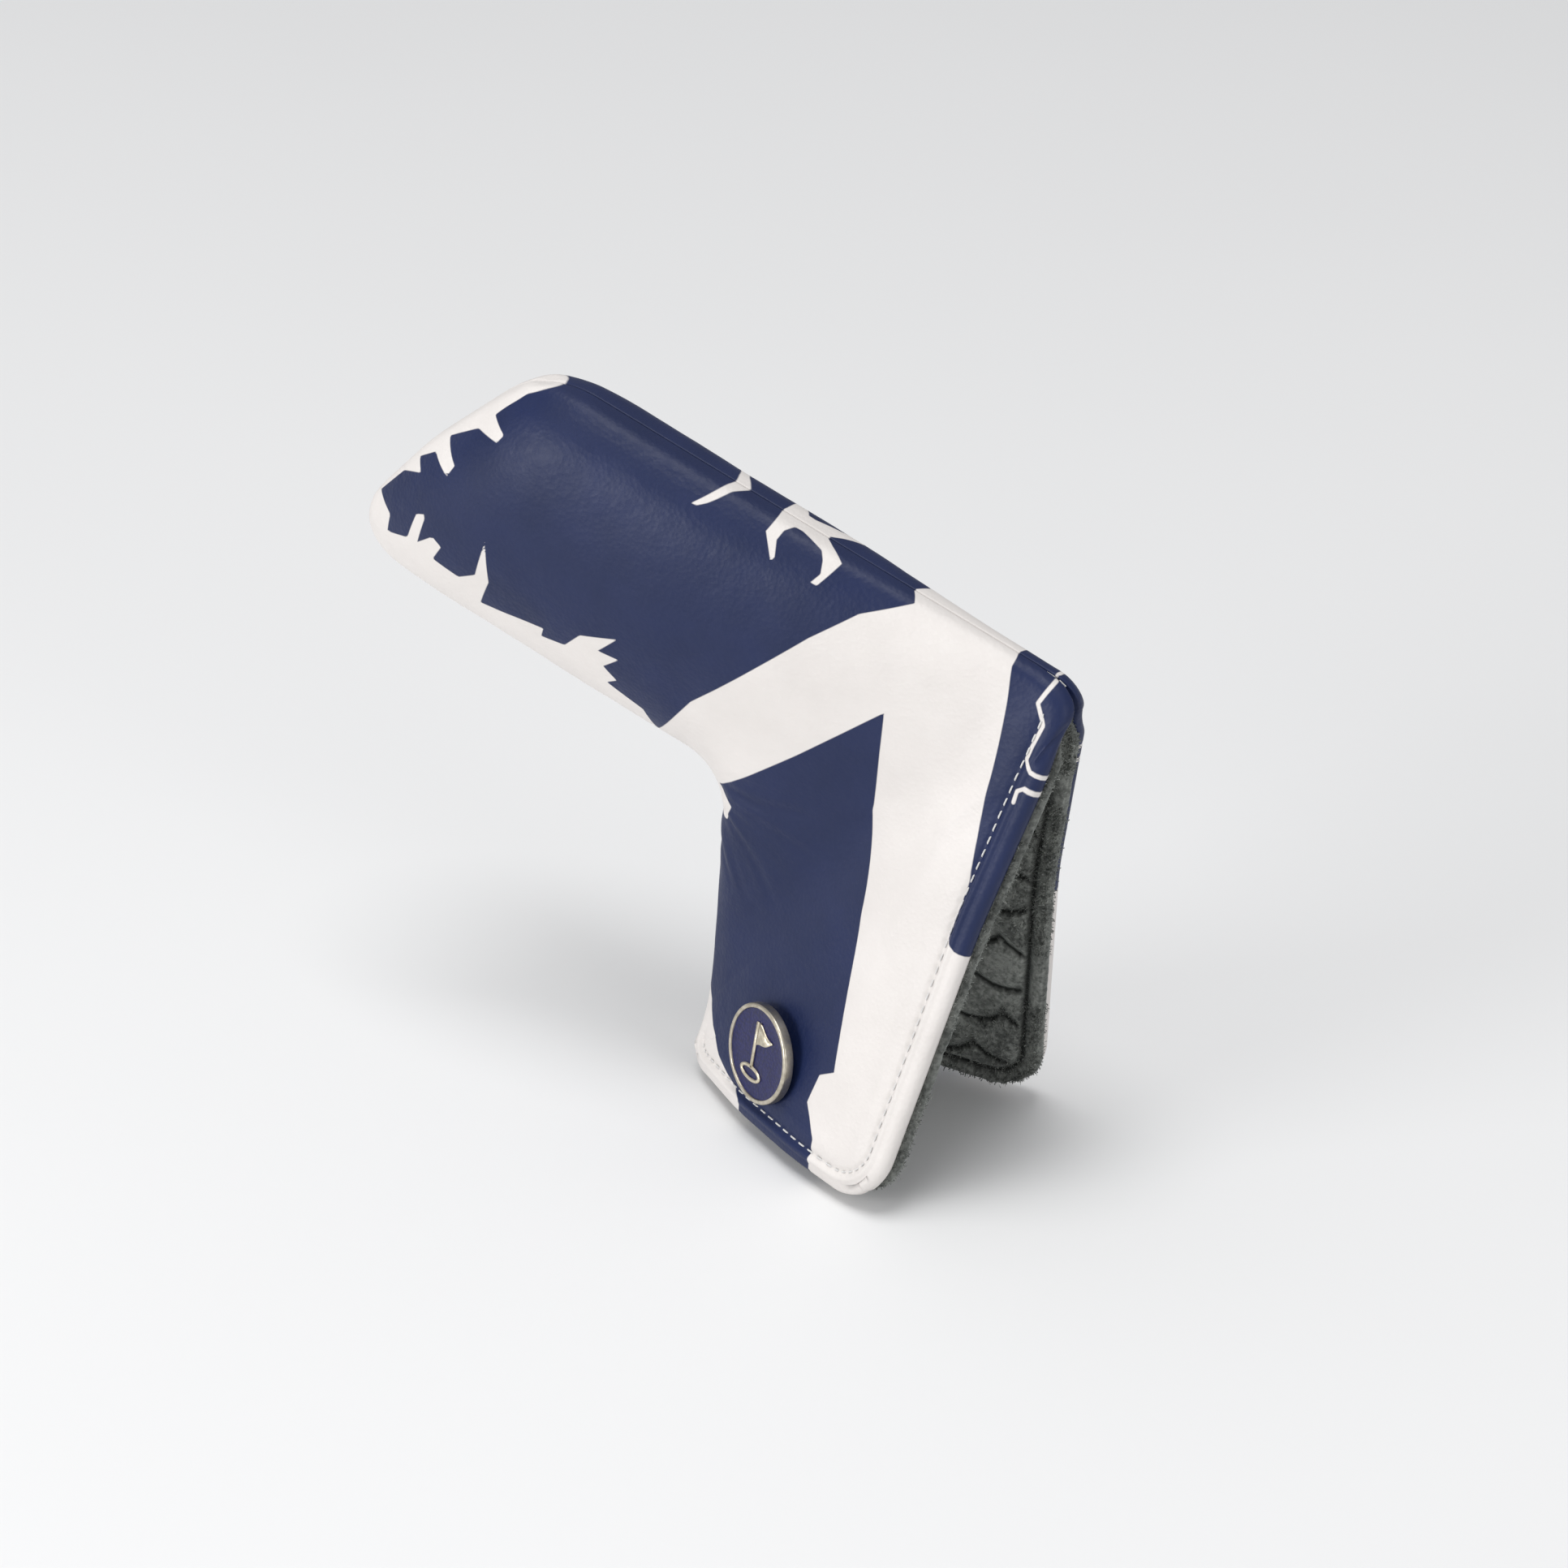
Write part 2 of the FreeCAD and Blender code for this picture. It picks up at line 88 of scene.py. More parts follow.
ANCHOR_ROW = 0.4  # the print's plane meets the outline at this share of a sheet's rows


# ---- flat outline

def unit(v):
    """Vectors along the last axis, scaled to length 1."""
    return v / np.maximum(np.linalg.norm(v, axis=-1, keepdims=True), 1e-9)


def heading(degrees):
    return np.array([math.cos(math.radians(degrees)), math.sin(math.radians(degrees))])


def bowed(start, end, share, bow):
    run = unit(end - start)
    return start + (end - start) * share + bow * np.array([-run[1], run[0]])


def corners():
    along, down = heading(180 - HEAD_TILT), heading(270 - HEAD_TILT)
    heel = np.zeros(2)
    toe_sole = along * SOLE_LENGTH
    toe_crown = along * (SOLE_LENGTH + TOE_SLANT) + down * HEAD_HEIGHT
    inner = along * NECK_WIDTH + down * HEAD_HEIGHT
    hem_left = inner + heading(270 - SEAM_LEAN) * NECK_LENGTH
    hem_right = heading(270 - SLIT_LEAN) * SLIT_LENGTH
    return {"heel": heel, "slit": bowed(heel, hem_right, 0.45, SLIT_BOW), "hem_right": hem_right,
            "hem_left": hem_left, "inner": inner, "toe_crown": toe_crown,
            "toe": bowed(toe_crown, toe_sole, 0.5, TOE_BOW), "toe_sole": toe_sole}


def rounded(before, corner, after, radius, steps=24):
    back, ahead = unit(before - corner), unit(after - corner)
    half = math.acos(float(back @ ahead)) / 2
    centre = corner + unit(back + ahead) * radius / math.sin(half)
    first = corner + back * radius / math.tan(half) - centre
    last = corner + ahead * radius / math.tan(half) - centre
    start = math.atan2(first[1], first[0])
    sweep = (math.atan2(last[1], last[0]) - start + math.pi) % (2 * math.pi) - math.pi
    turn = start + sweep * np.linspace(0, 1, steps + 1)
    return centre + radius * np.c_[np.cos(turn), np.sin(turn)]


CORNERS = corners()
SEAM_END = CORNERS["hem_left"] + unit(CORNERS["inner"] - CORNERS["hem_left"]) * FREE_SEAM


def edge_paths():
    names = list(CORNERS)
    arcs = {}
    for i, name in enumerate(names):
        before, after = CORNERS[names[i - 1]], CORNERS[names[(i + 1) % len(names)]]
        arcs[name] = rounded(before, CORNERS[name], after, RADII[name])
    middle = len(arcs["heel"]) // 2
    first = {name: arc[:middle + 1] for name, arc in arcs.items()}
    second = {name: arc[middle:] for name, arc in arcs.items()}
    end = SEAM_END[None]
    return {"sole": np.vstack([second["toe_sole"], first["heel"]]),
            "slit": np.vstack([second["heel"], arcs["slit"], first["hem_right"]]),
            "hem": np.vstack([second["hem_right"], first["hem_left"]]),
            "toe": np.vstack([second["toe_crown"], arcs["toe"], first["toe_sole"]])[::-1],
            "crown": np.vstack([end, arcs["inner"], first["toe_crown"]])[::-1],
            "left": np.vstack([second["hem_left"], end])[::-1]}


PATHS = edge_paths()
INSIDE = {"sole": 1, "slit": 1, "hem": 1, "toe": -1, "crown": -1, "left": -1}


def lengths(path):
    return np.r_[0, np.cumsum(np.linalg.norm(np.diff(path, axis=0), axis=1))]


def measured(path):
    """A path without doubled points, and the length along it at each point."""
    run = lengths(path)
    keep = np.r_[True, np.diff(run) > 1e-9]
    return path[keep], run[keep]


def along_path(path, run, distance):
    """Points of a measured path at these distances along it."""
    return np.stack([np.interp(distance, run, path[:, k]) for k in (0, 1)], axis=-1)


TOTAL = {name: lengths(path)[-1] for name, path in PATHS.items()}


def on_edge(name, share):
    """Points at these shares of an edge, and the unit vectors to the inside of the outline."""
    path, run = measured(PATHS[name])
    distance = np.atleast_1d(share) * run[-1]
    ahead = along_path(path, run, np.minimum(distance + 0.6, run[-1]))
    ahead -= along_path(path, run, np.maximum(distance - 0.6, 0))
    ahead = unit(ahead)
    return along_path(path, run, distance), np.c_[ahead[:, 1], -ahead[:, 0]] * INSIDE[name]


def ease(x):
    x = np.clip(x, 0, 1)
    return x * x * (3 - 2 * x)


# ---- sheets

def profile(turns):
    """Share of the way across a section, and the height of its bulge, for turns of 0 to 1."""
    c = np.cos(np.pi * turns)
    across = (1 - np.sign(c) * np.abs(c) ** (2 / FULLNESS)) / 2
    return across, np.maximum(np.sin(np.pi * turns), 0) ** (2 / FULLNESS)


def coons(near, far, first, last, s, t):
    """A grid filled in between four border lines."""
    s, t = s[:, None, None], t[None, :, None]
    ruled = (1 - t) * near[:, None] + t * far[:, None] + (1 - s) * first[None] + s * last[None]
    corner = (1 - s) * (1 - t) * near[0] + (1 - s) * t * far[0] + s * (1 - t) * near[-1] + s * t * far[-1]
    return ruled - corner


def head_grid(depth, s, turns):
    """Flat positions and half thicknesses of the pocket part of a sheet face."""
    across, bulge = profile(turns)
    near, near_in = on_edge("sole", s)
    far, far_in = on_edge("crown", s)
    near, far = near + depth * near_in, far + depth * far_in
    first, first_in = on_edge("toe", across)
    first = first + depth * first_in
    first[0], first[-1] = near[0], far[0]
    last = near[-1] + (far[-1] - near[-1]) * across[:, None]
    flat = coons(near, far, first, last, s, across)
    slim = ease((s - 0.35) / 0.65)
    cap = np.sqrt(1 - (1 - np.minimum(s * HEAD_SPAN / TOE_CAP, 1)) ** 2)
    height = (HALF_THICK_HEAD * (1 - slim) + HALF_THICK_FOLD * slim - depth) * cap
    pillow = PILLOW * (cap * (1 - slim))[:, None] * (4 * across * (1 - across))[None]
    return flat, SEAM_GAP + height[:, None] * bulge[None] + pillow


def flap_grid(depth, insets, s, turns):
    """The same for the flap part, drawn in by these insets at the slit, the seam's free end and the hem."""
    across, bulge = profile(turns)
    near_open = ease(s * TOTAL["slit"] / SLIT_RAMP)
    far_open = ease(s / SEAM_RAMP)
    near, near_in = on_edge("slit", s)
    far, far_in = on_edge("left", s)
    near = near + (depth * (1 - near_open))[:, None] * near_in
    far = far + (depth * (1 - far_open))[:, None] * far_in
    first = near[0] + (far[0] - near[0]) * across[:, None]
    last, hem_in = on_edge("hem", across)
    last[0], last[-1] = near[-1], far[-1]
    flat = coons(near, far, first, last, s, across)
    height = (HALF_THICK_FOLD + (HALF_THICK_HEM - HALF_THICK_FOLD) * ease(s) - depth)[:, None]
    edge_height = WALL + EDGE_GAP - SEAM_GAP - depth
    width = np.linalg.norm(far - near, axis=1)[:, None]
    side = ease(across)[None]
    opened = near_open[:, None] * (1 - side) + far_open[:, None] * side
    rise = ease(np.minimum(across, 1 - across)[None] * width / np.minimum(EDGE_EASE, width / 2))
    thick = (SEAM_GAP + height * bulge[None] * (1 - opened)
             + (edge_height + (height - edge_height) * rise) * opened)
    fall = np.linalg.norm(last - first, axis=1)[None]
    weights = [near_open[:, None] * np.maximum(1 - across[None] * width / EDGE_REACH, 0) ** 2,
               far_open[:, None] * np.maximum(1 - (1 - across[None]) * width / EDGE_REACH, 0) ** 2,
               np.maximum(1 - (1 - s[:, None]) * fall / EDGE_REACH, 0) ** 2]
    pulls = [near_in[:, None], far_in[:, None], hem_in[None]]
    shift = sum(w[..., None] * p * inset for w, p, inset in zip(weights, pulls, insets))
    strength = sum(w ** 4 for w in weights) ** 0.25
    size = np.linalg.norm(sum(w[..., None] * p for w, p in zip(weights, pulls)), axis=-1)
    return flat + shift * (strength / np.maximum(size, 1e-9))[..., None], thick


def sheet_grid(depth, insets, head_s, flap_s, turns):
    """A sheet's face from the toe to the hem, in flat space: x, thickness from the middle plane, z."""
    flat_head, thick_head = head_grid(depth, head_s, turns)
    flat_flap, thick_flap = flap_grid(depth, insets, flap_s, turns)
    flat, thick = np.vstack([flat_head, flat_flap[1:]]), np.vstack([thick_head, thick_flap[1:]])
    return np.dstack([flat[..., 0], thick, flat[..., 1]])


def fold_frame():
    """Unit vectors along the fold line and away from the pocket, in the flat."""
    along = unit(-SEAM_END)
    return along, np.array([along[1], -along[0]])


def bent(flat, thick, half):
    """Bend flat points about the fold line, millimetres from the heel corner."""
    angle = math.radians(OPENING[half])
    along, away = fold_frame()
    reach = (flat - SEAM_END) @ away
    outward = thick - AXIS_DEPTH
    before = -BEND_RADIUS * angle / 2
    turned = np.clip((reach - before) / BEND_RADIUS, 0, angle)
    beyond = np.maximum(reach - before - BEND_RADIUS * angle, 0)
    in_bend = reach > before
    reach = np.where(in_bend, before + BEND_RADIUS * np.sin(turned) + beyond * np.cos(turned)
                     - outward * np.sin(turned), reach)
    outward = np.where(in_bend, BEND_RADIUS * (1 - np.cos(turned)) + beyond * np.sin(turned)
                       + outward * np.cos(turned), outward)
    spot = SEAM_END + ((flat - SEAM_END) @ along)[..., None] * along + reach[..., None] * away
    return np.stack([spot[..., 0], half * (AXIS_DEPTH + outward), spot[..., 1]], axis=-1)


def leaned(points):
    """Turn flat axes to the row frame's axes, in which the cover leans."""
    c, s = math.cos(math.radians(LEAN)), math.sin(math.radians(LEAN))
    return points @ np.array([[1, 0, 0], [0, c, s], [0, -s, c]])


def unrolled(grid):
    """Where each point lies on the cloth before it is stretched over the bulge: the print's own plane."""
    flat, middle = grid[..., [0, 2]], grid.shape[1] // 2

    def steps(axis):
        run = np.diff(flat, axis=axis)
        size = np.linalg.norm(run, axis=-1, keepdims=True)
        true = np.linalg.norm(np.diff(grid, axis=axis), axis=-1, keepdims=True)
        return run / np.maximum(size, 1e-6) * true

    across = np.concatenate([np.zeros_like(flat[:, :1]), np.cumsum(steps(1), axis=1)], axis=1)
    across -= across[:, middle:middle + 1]
    down = np.concatenate([np.zeros_like(flat[:1]), np.cumsum(steps(0), axis=0)], axis=0)[:, middle]
    anchor = int(len(flat) * ANCHOR_ROW)
    return flat[anchor, middle] + (down - down[anchor])[:, None] + across


# ---- frame

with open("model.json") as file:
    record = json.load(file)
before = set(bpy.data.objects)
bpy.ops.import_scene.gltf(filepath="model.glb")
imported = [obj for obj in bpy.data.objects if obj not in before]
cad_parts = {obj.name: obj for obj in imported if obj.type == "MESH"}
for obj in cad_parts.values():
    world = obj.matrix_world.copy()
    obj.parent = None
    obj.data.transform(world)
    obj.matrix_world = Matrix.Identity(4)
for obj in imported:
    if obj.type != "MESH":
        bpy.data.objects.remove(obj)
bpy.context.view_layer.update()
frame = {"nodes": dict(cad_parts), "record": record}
JOINTS = {joint["name"]: joint for joint in frame["record"]["behaviour"]["joints"]}


def heel_corner():
    """The heel corner of the outline, found back from the front hinge, which lies on the fold line."""
    middle = np.array([SEAM_END[0] / 2, -AXIS_DEPTH, SEAM_END[1] / 2])
    return np.array(JOINTS["front_flap_fold"]["pos_m"]) / MM - leaned(middle)


HEEL = heel_corner()
SIDES = {"front": FRONT, "back": BACK}

# Outer depth and inner depth of a sheet, and how far its rim is drawn in at the slit, at the free end
# of the seam and at the hem.
LEATHER_INSETS = (1.9, 1.9, 1.9)
FOAM_SHEET = (1.5, 4.0, (4.5, 4.5, 4.5))
LINING_SHEET = (4.6, 6.5, (1.0, 1.6, 2.2))

# Numbers of rows in the toe, in the whole pocket less the toe and in the flap, and of columns.
LEATHER_GRID = (36, 236, 190, 176)
FOAM_GRID = (14, 70, 60, 50)
LINING_GRID = (14, 150, 170, 130)
RIM_TURNS = np.radians((30, 60, 90, 120, 150))  # rings between the two faces of a closed sheet

# Relief of the leather, millimetres.
LIP_RADIUS = 0.46  # its turned-in border at the seams
HEM_LIP_RADIUS = 2.3  # the same at the free edges
LIP_TURNS = (0.2, 0.4, 0.6, 0.8, 1.0)  # its rings, as shares of the whole roll
LIP_LENGTHS = (0.9, 2.2)  # how far the border runs on behind
RIDGE_WIDTH = 8.0
RIDGE_HEIGHT = 0.28
VALLEY_DEPTH = 0.16
INLAND = 9.0  # the soft relief grows over this distance from the borders
SOFT_RELIEF = ((0.42, 31, 0), (0.13, 9, 3), (0.03, 2.6, 7))  # height, size and seed
NECK_DENT = (0.9, 10, (-3, 24))  # depth, width, and place from the inner corner
CREASES = 15
STITCH_INSET = 4.8
HEM_PUFF = 0.55
GROOVE_DEPTH = 0.5
STITCH_PITCH = 3.3
STITCH_LENGTH = 2.2
FIRST_STITCH = 3.4
LAST_STITCH = 6.0  # the stitches stop this far before the seam
THREAD_RADIUS = 0.22

# Quilting and border of the lining, millimetres.
SCALE_WIDTH = 17.0
SCALE_RISE = 12.2
SCALE_RADIUS = 11.4
SCALE_SLOPE = 3.4
QUILT_DEPTH = 1.25
BORDER = 4.2
RIM_SHADE = 0.42  # share of the painted shade put on the plush's cut edge, 1 being the painted shade in the quilting grooves
NAP_COUNT = 40000
NAP_LENGTH = 1.7
NAP_WIDTH = 0.13
NAP_ROOT = 0.3  # scatter and depth of the roots
NAP_LINE = 2.5  # the nap grows round a line at this depth
NAP_REACH = 4.5  # and this far from it
NAP_START = 0.15  # where the edges stand at least this open, 1 is free
NAP_LEAN = 0.45


# ---- distances in a plane

def nearest_on(points, path):
    """Distance from each point to a polyline, and how far along the polyline its nearest place is."""
    best = np.full(points.shape[:-1], 1e9)
    along = np.zeros(points.shape[:-1])
    run = lengths(path)
    for start, end, before in zip(path[:-1], path[1:], run[:-1]):
        step = end - start
        size = float(step @ step)
        if size < 1e-12:
            continue
        share = np.clip((points - start) @ step / size, 0, 1)
        gap = np.linalg.norm(points - start - share[..., None] * step, axis=-1)
        nearer = gap < best
        best = np.where(nearer, gap, best)
        along = np.where(nearer, before + share * math.sqrt(size), along)
    return best, along


def inside(points, outline):
    """Whether each point is inside a closed outline."""
    result = np.zeros(points.shape[:-1], bool)
    x, y = points[..., 0], points[..., 1]
    for (x0, y0), (x1, y1) in zip(outline, np.roll(outline, -1, axis=0)):
        if y0 == y1:
            continue
        crosses = (y > min(y0, y1)) & (y <= max(y0, y1)) & (x < x0 + (y - y0) * (x1 - x0) / (y1 - y0))
        result ^= crosses
    return result


# ---- print

def print_patches():
    """White areas of the print in the cloth's plane, from the heel corner: x to the heel, y up."""
    band = [(-106, -38), (-92, -22), (-61, 3), (-50, 10.5), (-38, 14.5), (-38, 36), (-6, 26),
            (-14.4, 4.5), (-14.5, -18), (-13.4, -47), (-15.2, -61), (-11, -64.5), (-10, -142),
            (-39, -142), (-38, -120), (-43.3, -113), (-41.5, -105.5), (-37, -103), (-40.6, -76),
            (-45.4, -38), (-42.8, -12), (-64, -28), (-87, -44.5), (-106, -56)]
    hem_corner = [(-118, -92), (-95, -104), (-88, -112.5), (-81, -117.5), (-67.5, -123), (-66, -145),
                  (-118, -145)]
    neck_chip = [(-99, -44), (-87, -45.5), (-83.5, -49), (-86, -54), (-99, -56)]
    toe = [(-123, 60), (-128, 45.5), (-140, 42.5), (-147, 36.5), (-141, 33.5), (-142.5, 31.5),
           (-151, 32.5), (-162, 28), (-154.5, 23), (-156.5, 20), (-164.5, 23.5), (-171, 20.5),
           (-167, 17.5), (-176, 15.5), (-189, 4), (-205, 4), (-205, 60)]
    crown = [(-205, 9), (-184, 8), (-176, 4), (-177, -1), (-169, 0.5), (-165.5, 8), (-162, 9),
             (-165.5, 0.5), (-160, 4), (-157.5, 2), (-161, -2.5), (-154, -5.5), (-148.5, -3),
             (-144, 7.5), (-144.8, -4), (-149.5, -12), (-141, -12.5), (-131, -13), (-132.5, -16),
             (-125.5, -16), (-120, -11), (-109.5, -9), (-115.5, -14), (-110, -15), (-115, -18.5),
             (-112, -22), (-115.5, -24), (-107, -30), (-104, -60), (-205, -60)]
    small_mark = [(-91.8, 28.1), (-88, 30.4), (-83.4, 32.9), (-79.5, 34.6), (-84, 36), (-80, 45), (-66, 40),
                  (-74, 34), (-76.7, 33), (-82.4, 31.5), (-88, 28.7), (-90.5, 27.8)]
    large_mark = [(-70.3, 29), (-73.6, 25), (-71.6, 18.8), (-70.8, 19.9), (-70.9, 23.6), (-69.4, 25.6),
                  (-66.7, 26.8), (-64.8, 26.2), (-63.1, 25), (-60.2, 22.8), (-59.7, 20.8),
                  (-59.8, 17.9), (-61.8, 15.8), (-60.3, 15.3), (-55.3, 20.7), (-57.5, 24.2),
                  (-58.5, 26.5), (-60, 40), (-72, 40), (-69, 30.5)]
    outlines = (band, hem_corner, neck_chip, toe, crown, small_mark, large_mark)
    return [np.array(outline, float) for outline in outlines]


def print_strokes():
    """Thin white lines of the print: their course and half width."""
    long = [(-4.2, 4), (-7.2, -2), (-4.9, -6.5), (-6.3, -12), (-6.8, -15), (-4.9, -17.6)]
    short = [(-4.4, -20.8), (-7.0, -22.6), (-7.2, -25.4)]
    return [(np.array(long, float), 0.48), (np.array(short, float), 0.45)]


def print_edge(places):
    """Distance in millimetres into the white of the print, negative on the navy."""
    depth = np.full(places.shape[:-1], -1e9)
    for outline in print_patches():
        gap, _ = nearest_on(places, np.vstack([outline, outline[:1]]))
        depth = np.maximum(depth, np.where(inside(places, outline), gap, -gap))
    for course, half_width in print_strokes():
        gap, _ = nearest_on(places, course)
        depth = np.maximum(depth, half_width - gap)
    return depth


# ---- grids and their rims

def shares(counts):
    """Places of a sheet's rows in the pocket, its rows in the flap and its columns, each 0 to 1."""
    toe_rows, rows, flap_rows, columns = counts
    cap = TOE_CAP / HEAD_SPAN
    turn = np.linspace(0, math.pi / 2, toe_rows)
    head_s = np.r_[cap * (1 - np.cos(turn)), np.linspace(cap, 1, rows)[1:]]
    return head_s, np.linspace(0, 1, flap_rows), np.linspace(0, 1, columns)


def grid_normals(grid):
    """Normals of a face in flat space, away from the middle plane."""
    normal = unit(np.cross(np.gradient(grid, axis=0), np.gradient(grid, axis=1)))
    middle = normal[normal.shape[0] // 3, normal.shape[1] // 2, 1]
    return normal * np.sign(middle)


def rim_loop(shape):
    """Rows and columns of the vertices on the border of a grid, once round."""
    index = np.arange(shape[0] * shape[1]).reshape(shape[:2])
    ring = np.concatenate([index[:-1, 0], index[-1, :-1], index[:0:-1, -1], index[0, :0:-1]])
    return np.unravel_index(ring, index.shape)


def openness(shape, head_s, flap_s):
    """0 where the border of a grid is sewn to the other half, 1 where it is free, per grid vertex."""
    opened = np.zeros(shape[:2])
    heads = len(head_s) - 1
    side = np.linspace(0, 1, shape[1])[None]
    near = ease(flap_s * TOTAL["slit"] / SLIT_RAMP)[:, None]
    far = ease(flap_s / SEAM_RAMP)[:, None]
    opened[heads:] = near * (1 - side) + far * side
    return opened


def rim_frame(grid, opened):
    """Border points of a face with the way out of the sheet's edge and the way out of its surface."""
    loop = rim_loop(grid.shape)
    points = grid[loop]
    ahead = np.roll(points, -1, axis=0) - np.roll(points, 1, axis=0)
    outward = unit(np.c_[-ahead[:, 2], ahead[:, 0]])
    centre = points[:, [0, 2]].mean(axis=0)
    turn = np.sum((points[:, [0, 2]] - centre) * outward, axis=1).sum()
    outward *= np.sign(turn)
    free = opened[loop]
    tilt = free * math.pi / 2
    flat_out = np.c_[outward[:, 0], np.zeros(len(outward)), outward[:, 1]]
    up = np.array([0, 1, 0])
    normal = flat_out * np.cos(tilt)[:, None] + up * np.sin(tilt)[:, None]
    edge = -up * np.cos(tilt)[:, None] + flat_out * np.sin(tilt)[:, None]
    return loop, points, edge, normal, free


def place(points, half):
    """Flat space to the row frame, in metres."""
    return (leaned(bent(points[..., [0, 2]], points[..., 1], half)) + HEEL) * MM


def grid_faces(rows, columns, flip):
    """Quads of a grid, in order, with their corners turned over if flip."""
    index = np.arange(rows * columns).reshape(rows, columns)
    around = [index[:-1, :-1], index[:-1, 1:], index[1:, 1:], index[1:, :-1]]
    quads = np.stack(around, axis=-1).reshape(-1, 4)
    return quads[:, ::-1] if flip else quads


def border_faces(rings, flip):
    """Quads between closed rings of vertex numbers, each ring to the next."""
    quads = np.vstack([np.stack([one, other, np.roll(other, -1), np.roll(one, -1)], axis=-1)
                       for one, other in zip(rings, rings[1:])])
    return quads[:, ::-1] if flip else quads


def next_rings(ring, count, number):
    """A ring of vertex numbers, and this number of rings whose vertices are numbered on from count."""
    return [ring] + [np.arange(len(ring)) + count + i * len(ring) for i in range(number)]


def tube_faces(rings, sides, start=0):
    """Quads between rings of vertex numbers, and a cap at each end."""
    faces = []
    for ring in range(rings - 1):
        for k in range(sides):
            a, b = start + ring * sides + k, start + ring * sides + (k + 1) % sides
            faces.append((a, b, b + sides, a + sides))
    faces.append(tuple(range(start, start + sides))[::-1])
    faces.append(tuple(range(start + (rings - 1) * sides, start + rings * sides)))
    return faces


def show(name, data):
    """An object with this data, in the scene."""
    made = bpy.data.objects.new(name, data)
    bpy.context.scene.collection.objects.link(made)
    return made


def make_mesh(name, points, faces, values=None):
    """A smooth object from points in metres, faces, and per-vertex numbers for the shader."""
    mesh = bpy.data.meshes.new(name)
    mesh.from_pydata(points.tolist(), [], [list(map(int, face)) for face in faces])
    mesh.polygons.foreach_set("use_smooth", np.ones(len(mesh.polygons), bool))
    for label, numbers in (values or {}).items():
        layer = mesh.attributes.new(label, "FLOAT", "POINT")
        layer.data.foreach_set("value", np.asarray(numbers, np.float32))
    mesh.update()
    return show(name, mesh)


def speckle(points, size, seed):
    """Smooth noise at these points of flat space, about -1 to 1, with features of this size."""
    shift = Vector((seed * 17.3, seed * 5.1, seed * 9.7))
    flat = points.reshape(-1, 3) / size
    values = [noise.noise(Vector(spot) + shift) for spot in flat]
    return np.array(values).reshape(points.shape[:-1])


# ---- leather

def free_chain():
    """The free edge of a flap from the heel, round the hem, to the closing seam, with its openness."""
    path, run = measured(np.vstack([PATHS["slit"], PATHS["hem"], PATHS["left"][::-1]]))
    slit_end, hem_end = TOTAL["slit"], TOTAL["slit"] + TOTAL["hem"]
    left = ease((run[-1] - run) / TOTAL["left"] / SEAM_RAMP)
    opened = np.where(run < slit_end, ease(run / SLIT_RAMP), np.where(run < hem_end, 1, left))
    return path, run, opened


def free_edge(flat):
    """Distance of flat points to the free edge, how open the edge is there, and the length along it."""
    path, run, opened = free_chain()
    gap, along = nearest_on(flat, path)
    return gap, np.interp(along, run, opened), along


def bump_at(distance, centre, width):
    return np.exp(-((distance - centre) / width) ** 2)


def arc_gaps(grid):
    """Length over the surface from each vertex to the sewn borders: sole side, crown side and toe."""
    across = np.linalg.norm(np.diff(grid, axis=1), axis=-1)
    near = np.c_[np.zeros(len(grid)), np.cumsum(across, axis=1)]
    far = near[:, -1:] - near
    down = np.linalg.norm(np.diff(grid, axis=0), axis=-1)
    toe = np.vstack([np.zeros(grid.shape[1]), np.cumsum(down, axis=0)])
    return near, far, toe


def seam_relief(gap):
    """The turned seam allowance under the leather: a soft ridge with a shallow valley beside it."""
    ridge = RIDGE_HEIGHT * np.sin(np.pi * np.clip(gap / RIDGE_WIDTH, 0, 1)) ** 2
    return ridge - VALLEY_DEPTH * bump_at(gap, RIDGE_WIDTH + 2.5, 3.2)


def creases(flat):
    """Fine folds that fan out from the inner corner, where the cover turns, down to the slit."""
    draw = np.random.default_rng(3)
    source = CORNERS["inner"] + np.array([-9.0, 4.0])
    reach = flat - source
    distance = np.linalg.norm(reach, axis=-1)
    angle = np.arctan2(reach[..., 1], reach[..., 0])
    height = np.zeros(flat.shape[:-1])
    for spoke in np.radians(np.linspace(-78, -2, CREASES)):
        centre = spoke + draw.uniform(-0.04, 0.04)
        width = draw.uniform(0.8, 1.7)
        first, last = draw.uniform(8, 15), draw.uniform(24, 52)
        bow = 0.05 * np.sin(distance / draw.uniform(5, 9) + draw.uniform(0, 6))
        offset = (angle - centre - bow) * distance
        window = ease((distance - first) / 6) * ease((last - distance) / 14)
        height -= draw.uniform(0.12, 0.34) * window * bump_at(offset, 0, width)
        height += draw.uniform(0.05, 0.16) * window * bump_at(offset, 2.1 * width, 1.3 * width)
    return height


